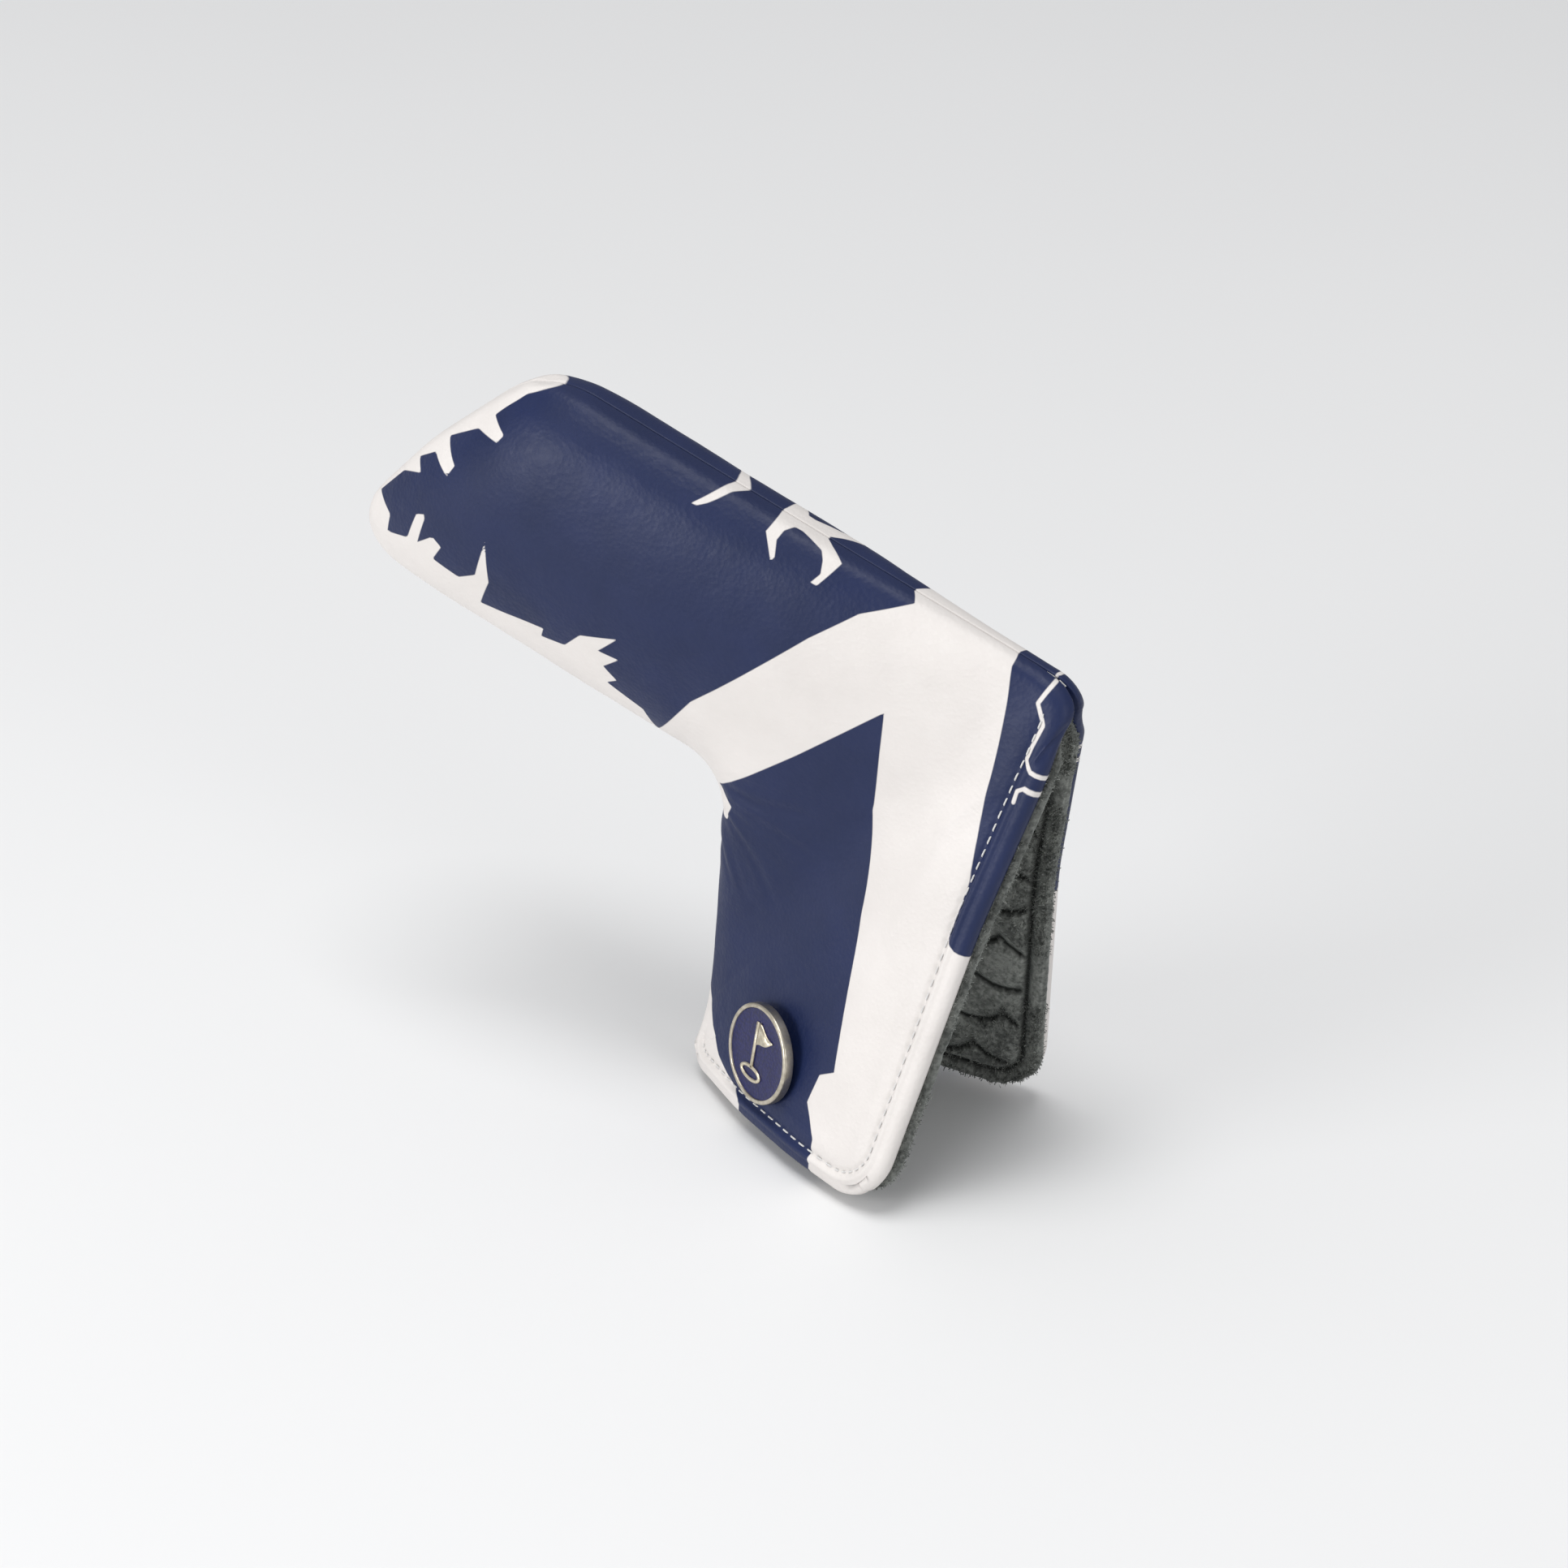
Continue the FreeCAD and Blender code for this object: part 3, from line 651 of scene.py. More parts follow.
def leather_relief(grid, head_rows, opened, half):
    """Height of the leather's relief along its normals, zero at the border."""
    flat = grid[..., [0, 2]]
    near, far, toe = arc_gaps(grid)
    sewn = np.ones((2,) + grid.shape[:2])
    sewn[0, head_rows:] = 1 - opened[head_rows:, :1]
    sewn[1, head_rows:] = 1 - opened[head_rows:, -1:]
    height = seam_relief(near) * sewn[0] + 0.6 * seam_relief(far) * sewn[1] + 0.7 * seam_relief(toe)
    gap, free, along = free_edge(flat)
    rim = LEATHER_INSETS[0]
    puff = HEM_PUFF * np.sin(np.pi * np.clip((gap - rim) / (STITCH_INSET - 0.3 - rim), 0, 1)) ** 1.5
    pull = 1 + 0.25 * np.cos(2 * np.pi * along / STITCH_PITCH)
    groove = GROOVE_DEPTH * pull * bump_at(gap, STITCH_INSET, 0.75)
    beside = 0.3 * bump_at(gap, STITCH_INSET + 3.6, 2.2)
    height += free * (puff - groove + beside)
    inland = ease(np.minimum(np.minimum(near, far), np.minimum(toe, gap + 40 * (1 - free))) / INLAND)
    soft = sum(rise * speckle(grid, size, half + seed) for rise, size, seed in SOFT_RELIEF)
    depth, width, spot = NECK_DENT
    dent = -depth * bump_at(np.linalg.norm(flat - CORNERS["inner"] - spot, axis=-1), 0, width)
    return height + inland * (soft + creases(flat) + dent)


def turned_in(rim, edge, normal, free):
    """Rings of points that roll the leather's border inwards and run on behind it."""
    radius = (LIP_RADIUS + (HEM_LIP_RADIUS - LIP_RADIUS) * free)[:, None]
    roll = (math.pi / 2 * (1 + free))[:, None]
    rings = []
    for turn in LIP_TURNS:
        angle = roll * turn
        rings.append(rim + radius * (np.sin(angle) * edge + (np.cos(angle) - 1) * normal))
    rolled = rings[-1]
    inward = np.cos(roll) * edge - np.sin(roll) * normal
    for length in LIP_LENGTHS:
        rings.append(rolled + inward * length * (0.4 + 0.6 * free[:, None]))
    return rings


def leather(side):
    """Outer leather of one half, turned in at its sewn borders and round the padding at its free ones."""
    half = SIDES[side]
    head_s, flap_s, turns = shares(LEATHER_GRID)
    grid = sheet_grid(0.0, LEATHER_INSETS, head_s, flap_s, turns)
    opened = openness(grid.shape, head_s, flap_s)
    places = unrolled(grid)
    loop, rim, edge, normal, free = rim_frame(grid, opened)
    normals = grid_normals(grid)
    normals[loop] = normal
    height = leather_relief(grid, len(head_s) - 1, opened, half)
    height[loop] = 0
    surface = grid + normals * height[..., None]
    white = print_edge(places)
    border = turned_in(rim, edge, normal, free)
    rings = next_rings(np.ravel_multi_index(loop, white.shape), white.size, len(border))
    vertices = np.vstack([surface.reshape(-1, 3)] + border)
    faces = np.vstack([grid_faces(*white.shape, half == FRONT), border_faces(rings, half == BACK)])
    inks = np.concatenate([white.ravel()] + [white[loop]] * len(border))
    made = make_mesh(f"{side}_leather", place(vertices, half), faces, {"print_edge": inks})
    return made


# ---- foam and plush lining

def scales(flat):
    """Height of overlapping quilted scales: 1 in the middle of each, 0 in the stitched grooves."""
    u, v = flat[..., 0], flat[..., 1]
    height = np.zeros(u.shape)
    taken = np.zeros(u.shape, bool)
    first = np.floor(v / SCALE_RISE) + 1
    for below in range(4):
        row = first - below
        shift = (row % 2) * SCALE_WIDTH / 2
        across = (u - shift + SCALE_WIDTH / 2) % SCALE_WIDTH - SCALE_WIDTH / 2
        gap = SCALE_RADIUS - np.hypot(across, v - row * SCALE_RISE)
        here = (gap > 0) & ~taken
        height = np.where(here, ease(gap / SCALE_SLOPE), height)
        taken |= here
    return height


def closed_sheet(name, sheet, counts, relief):
    """A closed sheet of one half from its two faces, with a round border between them."""
    outer, inner, insets = sheet
    half = SIDES[name.split("_")[0]]
    head_s, flap_s, turns = shares(counts)
    vertices, faces, rims, painted_shade, count = [], [], [], [], 0
    for depth in (outer, inner):
        grid = sheet_grid(depth, insets, head_s, flap_s, turns)
        opened = openness(grid.shape, head_s, flap_s)
        loop, _, edge, _, free = rim_frame(grid, opened)
        groove_and_shade = np.zeros(grid.shape[:2])
        if relief is not None:
            height, groove_and_shade = relief(grid, depth == inner, half)
            grid = grid + grid_normals(grid) * height[..., None]
        # Painted shade per vertex for the plush shader: dark in the quilting grooves, none on the foam.
        painted_shade.append(groove_and_shade.ravel())
        vertices.append(grid.reshape(-1, 3))
        faces.append(grid_faces(*grid.shape[:2], (half == FRONT) == (depth == outer)) + count)
        rims.append((grid[loop], np.ravel_multi_index(loop, opened.shape) + count))
        count += opened.size
    (first, start_ring), (last, end_ring) = rims
    middle, reach = (first + last) / 2, (first - last) / 2
    size = np.linalg.norm(reach, axis=1, keepdims=True)
    for turn in RIM_TURNS:
        vertices.append(middle + reach * math.cos(turn) + edge * size * math.sin(turn) * free[:, None])
        # The rim rings take a share of the painted shade.
        painted_shade.append(np.full(len(free), RIM_SHADE))
    rings = next_rings(start_ring, count, len(RIM_TURNS)) + [end_ring]
    faces.append(border_faces(rings, half == BACK))
    # This attribute carries the painted shade that the plush shader darkens by.
    values = {"groove_and_shade": np.concatenate(painted_shade)}
    return make_mesh(name, place(np.vstack(vertices), half), np.vstack(faces), values)


def plush_relief(grid, is_inner, half):
    """Height of the plush, positive away from the middle plane, and its share of the quilting grooves,
    which also sets the painted shade there.
    """
    gap, free, _ = free_edge(grid[..., [0, 2]])
    ragged = 0.22 * speckle(grid, 1.3, half + 11) + 0.25 * speckle(grid, 4.0, half + 13)
    if not is_inner:
        return 0.3 * free * ease((BORDER - gap) / BORDER) * ragged, np.zeros(gap.shape)
    beside = np.where(free > 0.02, ease((gap - BORDER) / 3), 1)
    quilt = (1 - scales(grid[..., [0, 2]])) * beside
    groove = free * bump_at(gap, BORDER + 0.6, 1.0)
    # The groove share sinks the plush and is also painted dark as shade.
    groove_and_shade = np.maximum(quilt, groove)
    roll = free * ease((BORDER - gap) / BORDER)
    return QUILT_DEPTH * groove_and_shade + (0.5 + 0.8 * roll) * ragged - 0.6 * roll, groove_and_shade


def nap(side, lining):
    """Short fibres that stand out of the plush along its free edges."""
    half = SIDES[side]
    draw = np.random.default_rng(20 + half)
    mesh = lining.data
    count = len(mesh.vertices)
    points, slopes = np.zeros(count * 3), np.zeros(count * 3)
    mesh.vertices.foreach_get("co", points)
    mesh.vertex_normals.foreach_get("vector", slopes)
    points, slopes = points.reshape(-1, 3), slopes.reshape(-1, 3)
    path, _, opened = free_chain()
    chain = place(np.c_[path[:, 0], np.full(len(path), NAP_LINE), path[:, 1]], half)
    chain = chain[opened > NAP_START][::2]
    gap = np.full(count, 1e9)
    for spot in chain:
        gap = np.minimum(gap, np.linalg.norm(points - spot, axis=1))
    step = np.linalg.norm(np.diff(chain, axis=0), axis=1).max()
    near = np.nonzero(gap < NAP_REACH * MM + step / 4)[0]
    chosen = draw.choice(near, size=NAP_COUNT)
    root = points[chosen] + draw.normal(0, NAP_ROOT * MM, (NAP_COUNT, 3))
    lean = unit(slopes[chosen] + draw.normal(0, NAP_LEAN, (NAP_COUNT, 3)))
    side_way = unit(np.cross(lean, draw.normal(0, 1, lean.shape)))
    tips = root + lean * draw.uniform(0.5, 1, (NAP_COUNT, 1)) * NAP_LENGTH * MM
    foot = root - lean * NAP_ROOT * MM
    across = side_way * NAP_WIDTH * MM
    vertices = np.stack([foot - across, foot + across, tips], axis=1).reshape(-1, 3)
    return make_mesh(f"{side}_plush_nap", vertices, np.arange(len(vertices)).reshape(-1, 3))


# ---- hem stitches

STITCH_RINGS = 9
STITCH_SIDES = 8


def surface_at(tree, half, flat):
    """Where the leather is at a flat place, and its normal."""
    above, below = (Vector(place(np.array([flat[0], thick, flat[1]]), half)) for thick in (15.0, 2.0))
    spot, normal, _, _ = tree.ray_cast(above, (below - above).normalized())
    if normal.dot(above - below) < 0:
        normal = -normal
    return np.array(spot), np.array(normal)


def stitch(spots, slope):
    """Vertices of one stitch: rings round a line of spots on the leather, with the ends pulled in."""
    side_way = np.cross(slope, unit(spots[-1] - spots[0]))
    vertices = []
    for step, spot in zip(np.linspace(-1, 1, len(spots)), spots):
        lift = (THREAD_RADIUS * 0.95 * (1 - step ** 4) - 0.16 * step ** 4) * MM
        girth = THREAD_RADIUS * MM * math.sqrt(max(1 - 0.8 * step ** 6, 0.05))
        for turn in np.linspace(0, 2 * math.pi, STITCH_SIDES, endpoint=False):
            up, out = lift + girth * math.sin(turn), girth * math.cos(turn)
            vertices.append(spot + slope * up + side_way * out)
    return vertices


def hem_stitches(side, outer):
    """Running stitches that lie in the groove along the free edge of one half."""
    half = SIDES[side]
    tree = BVHTree.FromObject(outer, bpy.context.evaluated_depsgraph_get())
    path, run, _ = free_chain()
    count = int((run[-1] - FIRST_STITCH - LAST_STITCH) / STITCH_PITCH)
    vertices, faces = [], []
    for i in range(count):
        centre = FIRST_STITCH + i * STITCH_PITCH
        found = []
        for step in np.linspace(-1, 1, STITCH_RINGS):
            at = centre + step * STITCH_LENGTH / 2
            spot = along_path(path, run, at)
            ahead = along_path(path, run, at + 0.5) - spot
            inward = unit(np.array([ahead[1], -ahead[0]]))
            found.append(surface_at(tree, half, spot + inward * STITCH_INSET))
        faces += tube_faces(STITCH_RINGS, STITCH_SIDES, len(vertices))
        vertices += stitch([spot for spot, _ in found], unit(sum(normal for _, normal in found)))
    made = make_mesh(f"{side}_hem_stitches", np.array(vertices), faces)
    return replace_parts(made, f"{side}_hem_thread")


# ---- ball marker

MARKER_RADIUS = 12.0
MARKER_THICK = 2.6
MARKER_RIM = 1.1
ENAMEL_SINK = 0.5


def marker_axes():
    """Back centre of the marker, the way it faces, its up and its right, in the row frame."""
    normal = unit(np.array(JOINTS["marker_pull"]["axis"], float))
    centre = np.array(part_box("marker_body")).mean(axis=0) - normal * MARKER_THICK / 2 * MM
    up = unit(np.array([0, 0, 1]) - normal * normal[2])
    return centre, normal, up, np.cross(up, normal)


def turned(name, outline, segments=160):
    """A solid of revolution about the marker's axis, from (radius, height) points in millimetres."""
    centre, normal, up, right = marker_axes()
    vertices = []
    for radius, height in outline:
        for turn in np.linspace(0, 2 * math.pi, segments, endpoint=False):
            arm = math.cos(turn) * right + math.sin(turn) * up
            vertices.append(centre + (arm * radius + normal * height) * MM)
    return make_mesh(name, np.array(vertices), tube_faces(len(outline), segments))


def round_corner(centre, radius, start, end, steps=7):
    """Points of an arc in an outline, angles in degrees."""
    return [(centre[0] + radius * math.cos(a), centre[1] + radius * math.sin(a))
            for a in np.radians(np.linspace(start, end, steps))]


def marker_coin():
    """Metal body: a flat back, a soft outer edge and a narrow raised rim round the enamel's recess."""
    top, inner = MARKER_THICK, MARKER_RADIUS - MARKER_RIM
    floor = top - ENAMEL_SINK - 0.3
    outline = [(0.4, 0)] + round_corner((MARKER_RADIUS - 0.35, 0.35), 0.35, -90, 0)
    outline += round_corner((MARKER_RADIUS - 0.5, top - 0.5), 0.5, 0, 90)
    outline += round_corner((inner + 0.25, top - 0.25), 0.25, 90, 180, 5) + [(inner, floor), (0.4, floor)]
    return turned("marker_coin", outline)


def marker_enamel():
    """Enamel in the recess, drawn up a little where it meets the rim."""
    top = MARKER_THICK - ENAMEL_SINK
    inner = MARKER_RADIUS - MARKER_RIM - 0.02
    outline = [(0.05, top - 0.28), (inner, top - 0.28), (inner, top + 0.1), (inner - 0.15, top + 0.06),
               (inner - 0.5, top), (inner - 3, top - 0.02), (0.05, top)]
    return turned("marker_enamel_fill", outline)


def marker_emblem():
    """A flag in a hole, raised from the enamel, with its edges rounded."""
    centre, normal, up, right = marker_axes()
    floor = MARKER_THICK - ENAMEL_SINK - 0.05
    raised, foot, pole, half_pole = 0.48, -5.6, -1.4, 0.45
    shapes = bmesh.new()

    def ring(outline, height):
        spots = [centre + (right * x + up * y + normal * (floor + height)) * MM for x, y in outline]
        return [shapes.verts.new(spot) for spot in spots]

    def sides(low, high):
        for i in range(len(low)):
            j = (i + 1) % len(low)
            shapes.faces.new((low[i], low[j], high[j], high[i]))

    def slab(outline):
        low, high = ring(outline, 0), ring(outline, raised)
        shapes.faces.new(low[::-1])
        shapes.faces.new(high)
        sides(low, high)

    slab([(pole + x, foot + y) for x, y in ((-half_pole, 1.2), (half_pole, 1.2), (half_pole, 13.2),
                                            (-half_pole, 13.2))])
    wave = [(x, 0.3 * math.sin(x * 1.1)) for x in np.linspace(0.75, 6.8, 10)]
    upper = [(pole + x, foot + 13.1 - (x - 0.75) * 0.46 + bend) for x, bend in wave]
    lower = [(pole + x, foot + 7.4 + (x - 0.75) * 0.46 + bend) for x, bend in wave]
    slab(lower + upper[::-1])
    rings = []
    for wide, high, height in ((3.3, 1.1, 0), (3.3, 1.1, raised), (4.2, 1.9, raised), (4.2, 1.9, 0)):
        rings.append(ring([(pole + wide * math.cos(turn), foot + high * math.sin(turn))
                           for turn in np.linspace(0, 2 * math.pi, 64, endpoint=False)], height))
    for one, other in zip(rings, rings[1:] + rings[:1]):
        sides(one, other)
    bmesh.ops.recalc_face_normals(shapes, faces=shapes.faces)
    sharp = [e for e in shapes.edges if e.calc_face_angle(0) > 0.6]
    bmesh.ops.bevel(shapes, geom=sharp, offset=0.13 * MM, segments=3, affect="EDGES", clamp_overlap=True)
    mesh = bpy.data.meshes.new("marker_figure")
    shapes.to_mesh(mesh)
    shapes.free()
    mesh.polygons.foreach_set("use_smooth", np.ones(len(mesh.polygons), bool))
    return show("marker_figure", mesh)


# ---- materials

def wire(tree, node, inputs):
    """Set inputs of a node to values or linked sockets."""
    for key, value in inputs.items():
        if isinstance(value, bpy.types.NodeSocket):
            tree.links.new(value, node.inputs[key])
        else:
            node.inputs[key].default_value = value


def add(tree, kind, inputs, **settings):
    """A shader node with its settings and inputs."""
    made = tree.nodes.new("ShaderNode" + kind)
    for key, value in settings.items():
        setattr(made, key, value)
    wire(tree, made, inputs)
    return made


def blank(name):
    """A new material, its node tree and a socket with object coordinates."""
    made = bpy.data.materials.new(name)
    made.use_nodes = True
    return made, made.node_tree, add(made.node_tree, "TexCoord", {}).outputs["Object"]


def shaded(made, inputs):
    """Feed a material's Principled shader."""
    wire(made.node_tree, made.node_tree.nodes["Principled BSDF"], inputs)
    return made


def attribute(tree, name):
    """A number that the mesh has per vertex."""
    return add(tree, "Attribute", {}, attribute_name=name).outputs["Fac"]


def texture(tree, where, size, detail=3.0, kind="TexNoise", **settings):
    """Value of a procedural texture with features of this size in millimetres."""
    inputs = {"Vector": where, "Scale": 1 / (size * MM)}
    if kind == "TexNoise":
        inputs["Detail"] = detail
    return add(tree, kind, inputs, **settings).outputs["Distance" if kind == "TexVoronoi" else "Fac"]


def ramp(tree, value, low, high, to_low=0.0, to_high=1.0):
    """A value stretched from one range to another."""
    return add(tree, "MapRange", {"Value": value, "From Min": low, "From Max": high, "To Min": to_low,
                                  "To Max": to_high}).outputs[0]


def mix(tree, share, first, second):
    """A colour between two colours or sockets."""
    return add(tree, "Mix", {0: share, 6: first, 7: second}, data_type="RGBA").outputs[2]


def bump(tree, height, depth, strength=1.0, under=None):
    """Normal of a height in millimetres, over another normal if there is one."""
    inputs = {"Height": height, "Distance": depth * MM, "Strength": strength}
    if under is not None:
        inputs["Normal"] = under
    return add(tree, "Bump", inputs).outputs[0]


def leather_material():
    """Satin printed leather with a fine pebble grain."""
    made, tree, where = blank("printed_leather")
    white = ramp(tree, attribute(tree, "print_edge"), -0.12, 0.12)
    cloud = ramp(tree, texture(tree, where, 16, 4), 0.3, 0.7)
    navy = mix(tree, cloud, (0.0075, 0.0155, 0.060, 1), (0.0105, 0.0195, 0.074, 1))
    cream = mix(tree, cloud, (0.69, 0.655, 0.63, 1), (0.735, 0.70, 0.675, 1))
    pebbles = bump(tree, texture(tree, where, 1.1, kind="TexVoronoi"), 0.10, 0.6)
    pebbles = bump(tree, texture(tree, where, 0.45, 2), 0.05, 0.5, pebbles)
    rough = ramp(tree, texture(tree, where, 2.2, 4), 0.25, 0.75, 0.44, 0.54)
    return shaded(made, {"Base Color": mix(tree, white, navy, cream), "Roughness": rough,
                         "Specular IOR Level": 0.32,
                         "Normal": bump(tree, texture(tree, where, 5, 5), 0.25, 0.35, pebbles)})


def plush_material():
    """Grey plush: a matt pile with a soft sheen, with painted shade in the quilting grooves and on the cut
    edge.
    """
    made, tree, where = blank("grey_plush")
    tufts = mix(tree, 0.5, texture(tree, where, 6, 5), texture(tree, where, 1.1, 2))
    dark, light = (0.100, 0.106, 0.099, 1), (0.290, 0.302, 0.281, 1)
    pile = mix(tree, ramp(tree, tufts, 0.4, 0.6), dark, light)
    # Painted shade: the near-black colour darkens the pile where the groove share is high.
    groove_and_shade = ramp(tree, attribute(tree, "groove_and_shade"), 0.1, 0.9)
    soft = bump(tree, texture(tree, where, 0.5), 0.35, 0.8)
    return shaded(made, {"Base Color": mix(tree, groove_and_shade, pile, (0.022, 0.024, 0.022, 1)),
                         "Normal": bump(tree, texture(tree, where, 1.8, 4), 0.5, 0.6, soft),
                         "Roughness": 0.95, "Specular IOR Level": 0.1, "Sheen Weight": 0.5,
                         "Sheen Roughness": 0.45, "Sheen Tint": (0.75, 0.8, 0.77, 1)})


def foam_material():
    """Open-cell foam, only seen if a layer is lifted."""
    made, tree, where = blank("cell_foam")
    cells = texture(tree, where, 0.7, kind="TexVoronoi")
    colour = mix(tree, cells, (0.52, 0.50, 0.46, 1), (0.70, 0.68, 0.63, 1))
    return shaded(made, {"Base Color": colour, "Normal": bump(tree, cells, 0.3, 0.8), "Roughness": 0.9})


def thread_material():
    """Pale twisted sewing thread."""
    made, tree, where = blank("pale_thread")
    ply = texture(tree, where, 0.28, kind="TexWave", bands_direction="DIAGONAL")
    colour = mix(tree, ply, (0.60, 0.60, 0.60, 1), (0.82, 0.81, 0.79, 1))
    return shaded(made, {"Base Color": colour, "Normal": bump(tree, ply, 0.06, 0.6), "Roughness": 0.6})


def worn_metal(name, wear, scuff, dull, bright, metallic, roughness):
    """Metal worn bright in patches, with fine scuffs. Wear is their size, detail and threshold."""
    made, tree, where = blank(name)
    size, detail, threshold = wear
    worn = ramp(tree, texture(tree, where, size, detail), threshold, 0.7)
    return shaded(made, {"Base Color": mix(tree, worn, dull, bright), "Metallic": metallic,
                         "Roughness": ramp(tree, worn, 0, 1, *roughness),
                         "Normal": bump(tree, texture(tree, where, scuff, 4), 0.02, 0.5)})


def brass_material():
    """Pale antique metal of the coin."""
    dull, bright = (0.44, 0.40, 0.32, 1), (0.66, 0.61, 0.51, 1)
    return worn_metal("antique_brass", (1.6, 6, 0.35), 0.35, dull, bright, 1.0, (0.46, 0.28))


def gold_material():
    """Pale gold of the raised figure."""
    dull, bright = (0.56, 0.49, 0.36, 1), (0.83, 0.77, 0.62, 1)
    return worn_metal("pale_gold", (1.1, 5, 0.3), 0.3, dull, bright, 0.85, (0.44, 0.32))


def enamel_material():
    """Indigo enamel over a dimpled ground."""
    made, tree, where = blank("indigo_enamel")
    dimples = texture(tree, where, 0.75, kind="TexVoronoi")
    deep = ramp(tree, dimples, 0.0, 0.8)
    colour = mix(tree, deep, (0.008, 0.010, 0.100, 1), (0.004, 0.005, 0.050, 1))
    return shaded(made, {"Base Color": colour, "Normal": bump(tree, dimples, 0.08, 0.5), "Roughness": 0.3,
                         "Specular IOR Level": 0.3, "Coat Weight": 0.15, "Coat Roughness": 0.12})


def steel_material():
    """Nickel-plated magnet."""
    made, tree, where = blank("plated_magnet")
    haze = ramp(tree, texture(tree, where, 2.5, 4), 0.3, 0.7)
    return shaded(made, {"Base Color": mix(tree, haze, (0.50, 0.50, 0.49, 1), (0.62, 0.62, 0.60, 1)),
                         "Metallic": 1.0, "Roughness": ramp(tree, haze, 0, 1, 0.22, 0.34)})


def pouch_material():
    """Thin woven cloth of the magnet pouches."""
    made, tree, where = blank("woven_pouch")
    warp = texture(tree, where, 0.5, kind="TexWave")
    weft = texture(tree, where, 0.5, kind="TexWave", bands_direction="Z")
    check = add(tree, "Math", {0: warp, 1: weft}, operation="MULTIPLY").outputs[0]
    colour = mix(tree, check, (0.55, 0.55, 0.53, 1), (0.75, 0.75, 0.72, 1))
    return shaded(made, {"Base Color": colour, "Normal": bump(tree, check, 0.1, 0.6), "Roughness": 0.85})


def floor_material():
    """Matt studio floor with a faint unevenness."""
    made, tree, where = blank("studio_floor")
    cloud = ramp(tree, texture(tree, where, 300, 2), 0.3, 0.7)
    return shaded(made, {"Base Color": mix(tree, cloud, (0.84, 0.84, 0.84, 1), (0.85, 0.85, 0.85, 1)),
                         "Roughness": 0.9, "Specular IOR Level": 0.1})


def finish_with(piece, material):
    """Give a piece its one material."""
    piece.data.materials.clear()
    piece.data.materials.append(material)


# ---- assembly

def across_fold(piece):
    """Bake a piece's transform into its mesh."""
    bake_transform(piece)


def build_half(side, looks):
    """All pieces of the front or the back half."""
    outer = leather(side)
    foam = closed_sheet(f"{side}_foam", FOAM_SHEET, FOAM_GRID, None)
    lining = closed_sheet(f"{side}_lining", LINING_SHEET, LINING_GRID, plush_relief)
    fibres = nap(side, lining)
    stitches = hem_stitches(side, outer)
    for piece, look, slot in ((outer, "leather", "leather_print"), (foam, "foam", "foam"),
                              (lining, "plush", "plush"), (fibres, "plush", "plush"),
                              (stitches, "thread", "thread")):
        finish_with(piece, looks[look])
        across_fold(piece)
    for piece, layer in ((outer, "shell"), (foam, "foam"), (lining, "lining")):
        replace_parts(piece, f"{side}_{layer}_head", f"{side}_{layer}_flap")


def build_marker(looks):
    """The ball marker's three pieces."""
    for piece, node, look, slot in ((marker_coin(), "marker_body", "brass", "marker_metal"),
                                    (marker_enamel(), "marker_enamel", "enamel", "marker_enamel"),
                                    (marker_emblem(), "marker_emblem", "gold", "marker_figure")):
        finish_with(piece, looks[look])
        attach(piece, "ball_marker")
        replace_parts(piece, node)


def finish_cad_pieces(looks):
    """Magnets, pouches and seam thread, which keep their CAD shapes."""
    for node in ("front_closure_magnets", "back_closure_magnets", "marker_magnet"):
        finish_with(frame["nodes"][node], looks["steel"])
    for node in ("front_magnet_pouches", "back_magnet_pouches", "marker_magnet_pouch"):
        finish_with(frame["nodes"][node], looks["pouch"])
    finish_with(frame["nodes"]["closing_seam_thread"], looks["thread"])


# ---- studio

CAMERA_AZIMUTH = 29.13
CAMERA_ELEVATION = 27.02
CAMERA_ROLL = 1.99
CAMERA_DISTANCE = 0.9758
CAMERA_TARGET = np.array([0.01958, 0.0, 0.08337])
LENS = 97.5
SENSOR = 36.0

# Lights: azimuth, elevation, metres from the target, metres across, watts.
LIGHT_TARGET = np.array([0.02, 0, 0.08])
LIGHTS = {"key": (0, 80, 3.6, 2.0, 64), "left": (-27, 14, 1.4, 0.7, 9.5), "right": (66, 20, 1.4, 0.6, 3.0)}
SKY_COLOUR = (0.93, 0.94, 0.96, 1)
SKY_STRENGTH = 0.45
FLOOR_REACH = 6.0
FLOOR_LEVEL = -0.0003


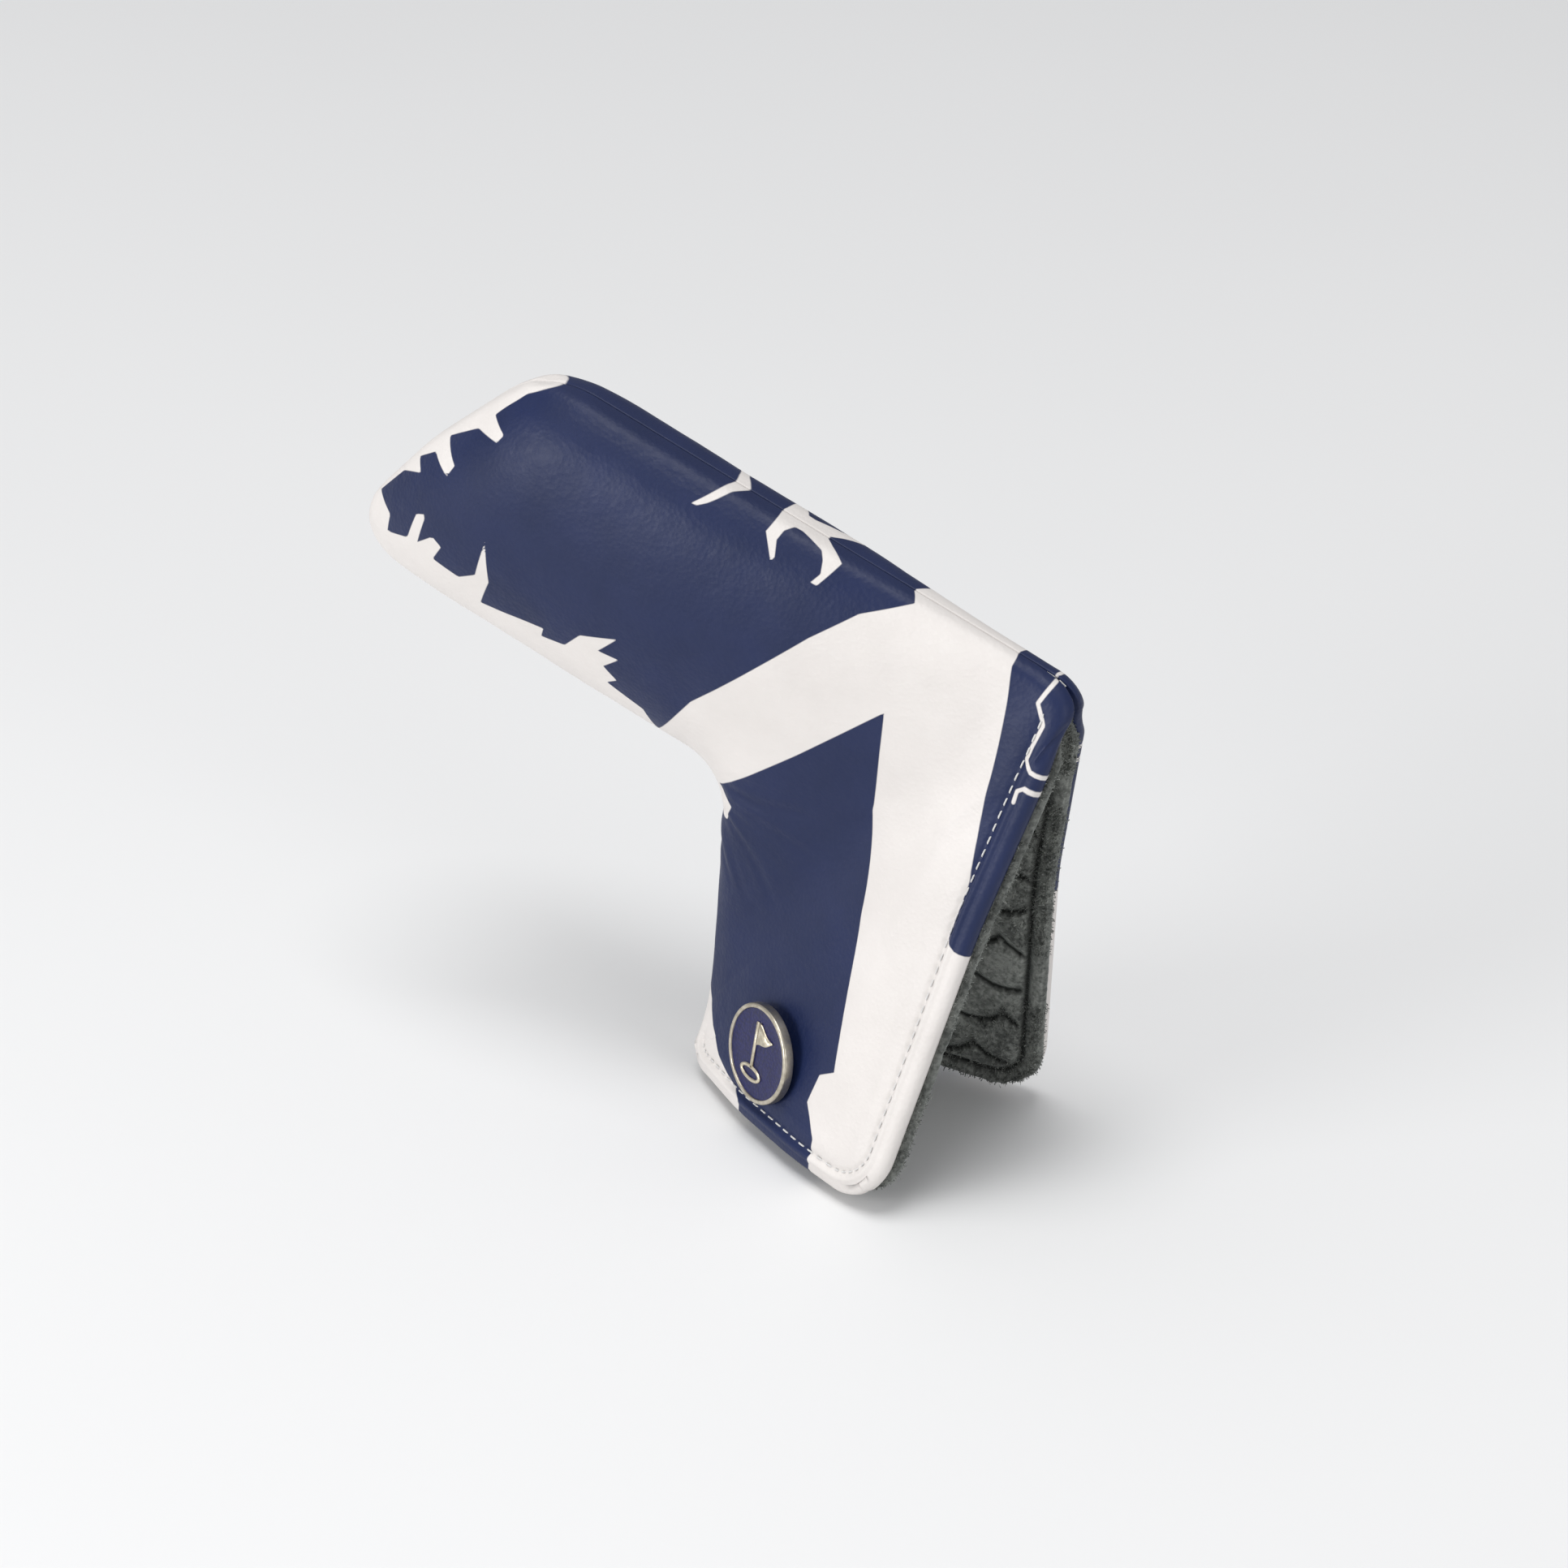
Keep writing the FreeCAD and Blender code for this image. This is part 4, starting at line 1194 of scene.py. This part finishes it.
def directions(azimuth, elevation):
    """Unit vector from the object to a place at this azimuth and elevation in degrees."""
    a, e = math.radians(azimuth), math.radians(elevation)
    return np.array([math.sin(a) * math.cos(e), -math.cos(a) * math.cos(e), math.sin(e)])


def aimed(name, data, target, way, distance, roll=0.0):
    """A camera or light at this distance from its target, turned to it."""
    made = show(name, data)
    made.location = target + way * distance
    made.rotation_mode = "QUATERNION"
    made.rotation_quaternion = Quaternion(way, math.radians(roll)) @ Vector(way).to_track_quat("Z", "Y")
    return made


def make_camera():
    data = bpy.data.cameras.new("camera")
    data.lens, data.sensor_width = LENS, SENSOR
    data.clip_start, data.clip_end = 0.05, 20
    back = directions(CAMERA_AZIMUTH, CAMERA_ELEVATION)
    bpy.context.scene.camera = aimed("camera", data, CAMERA_TARGET, back, CAMERA_DISTANCE, CAMERA_ROLL)


def area_light(name, azimuth, elevation, distance, size, power):
    data = bpy.data.lights.new(name, "AREA")
    data.shape, data.size, data.energy = "DISK", size, power
    aimed(name, data, LIGHT_TARGET, directions(azimuth, elevation), distance)


def studio():
    """Floor, sky and lights."""
    floor = bpy.data.meshes.new("floor")
    spots = [(x * FLOOR_REACH, y * FLOOR_REACH, 0) for x, y in ((-1, -1), (1, -1), (1, 1), (-1, 1))]
    floor.from_pydata(spots, [], [(0, 1, 2, 3)])
    floor.materials.append(floor_material())
    ground = show("floor", floor)
    ground.location.z = FLOOR_LEVEL
    world = bpy.data.worlds.new("studio")
    bpy.context.scene.world = world
    world.use_nodes = True
    sky = world.node_tree.nodes["Background"]
    wire(world.node_tree, sky, {"Color": SKY_COLOUR, "Strength": SKY_STRENGTH})
    bpy.context.scene.view_settings.view_transform = "Standard"
    for name, setting in LIGHTS.items():
        area_light(name, *setting)


looks = {"leather": leather_material(), "foam": foam_material(), "plush": plush_material(),
         "thread": thread_material(), "brass": brass_material(), "gold": gold_material(),
         "enamel": enamel_material(), "steel": steel_material(), "pouch": pouch_material()}
build_half("front", looks)
build_half("back", looks)
build_marker(looks)
finish_cad_pieces(looks)
studio()
make_camera()
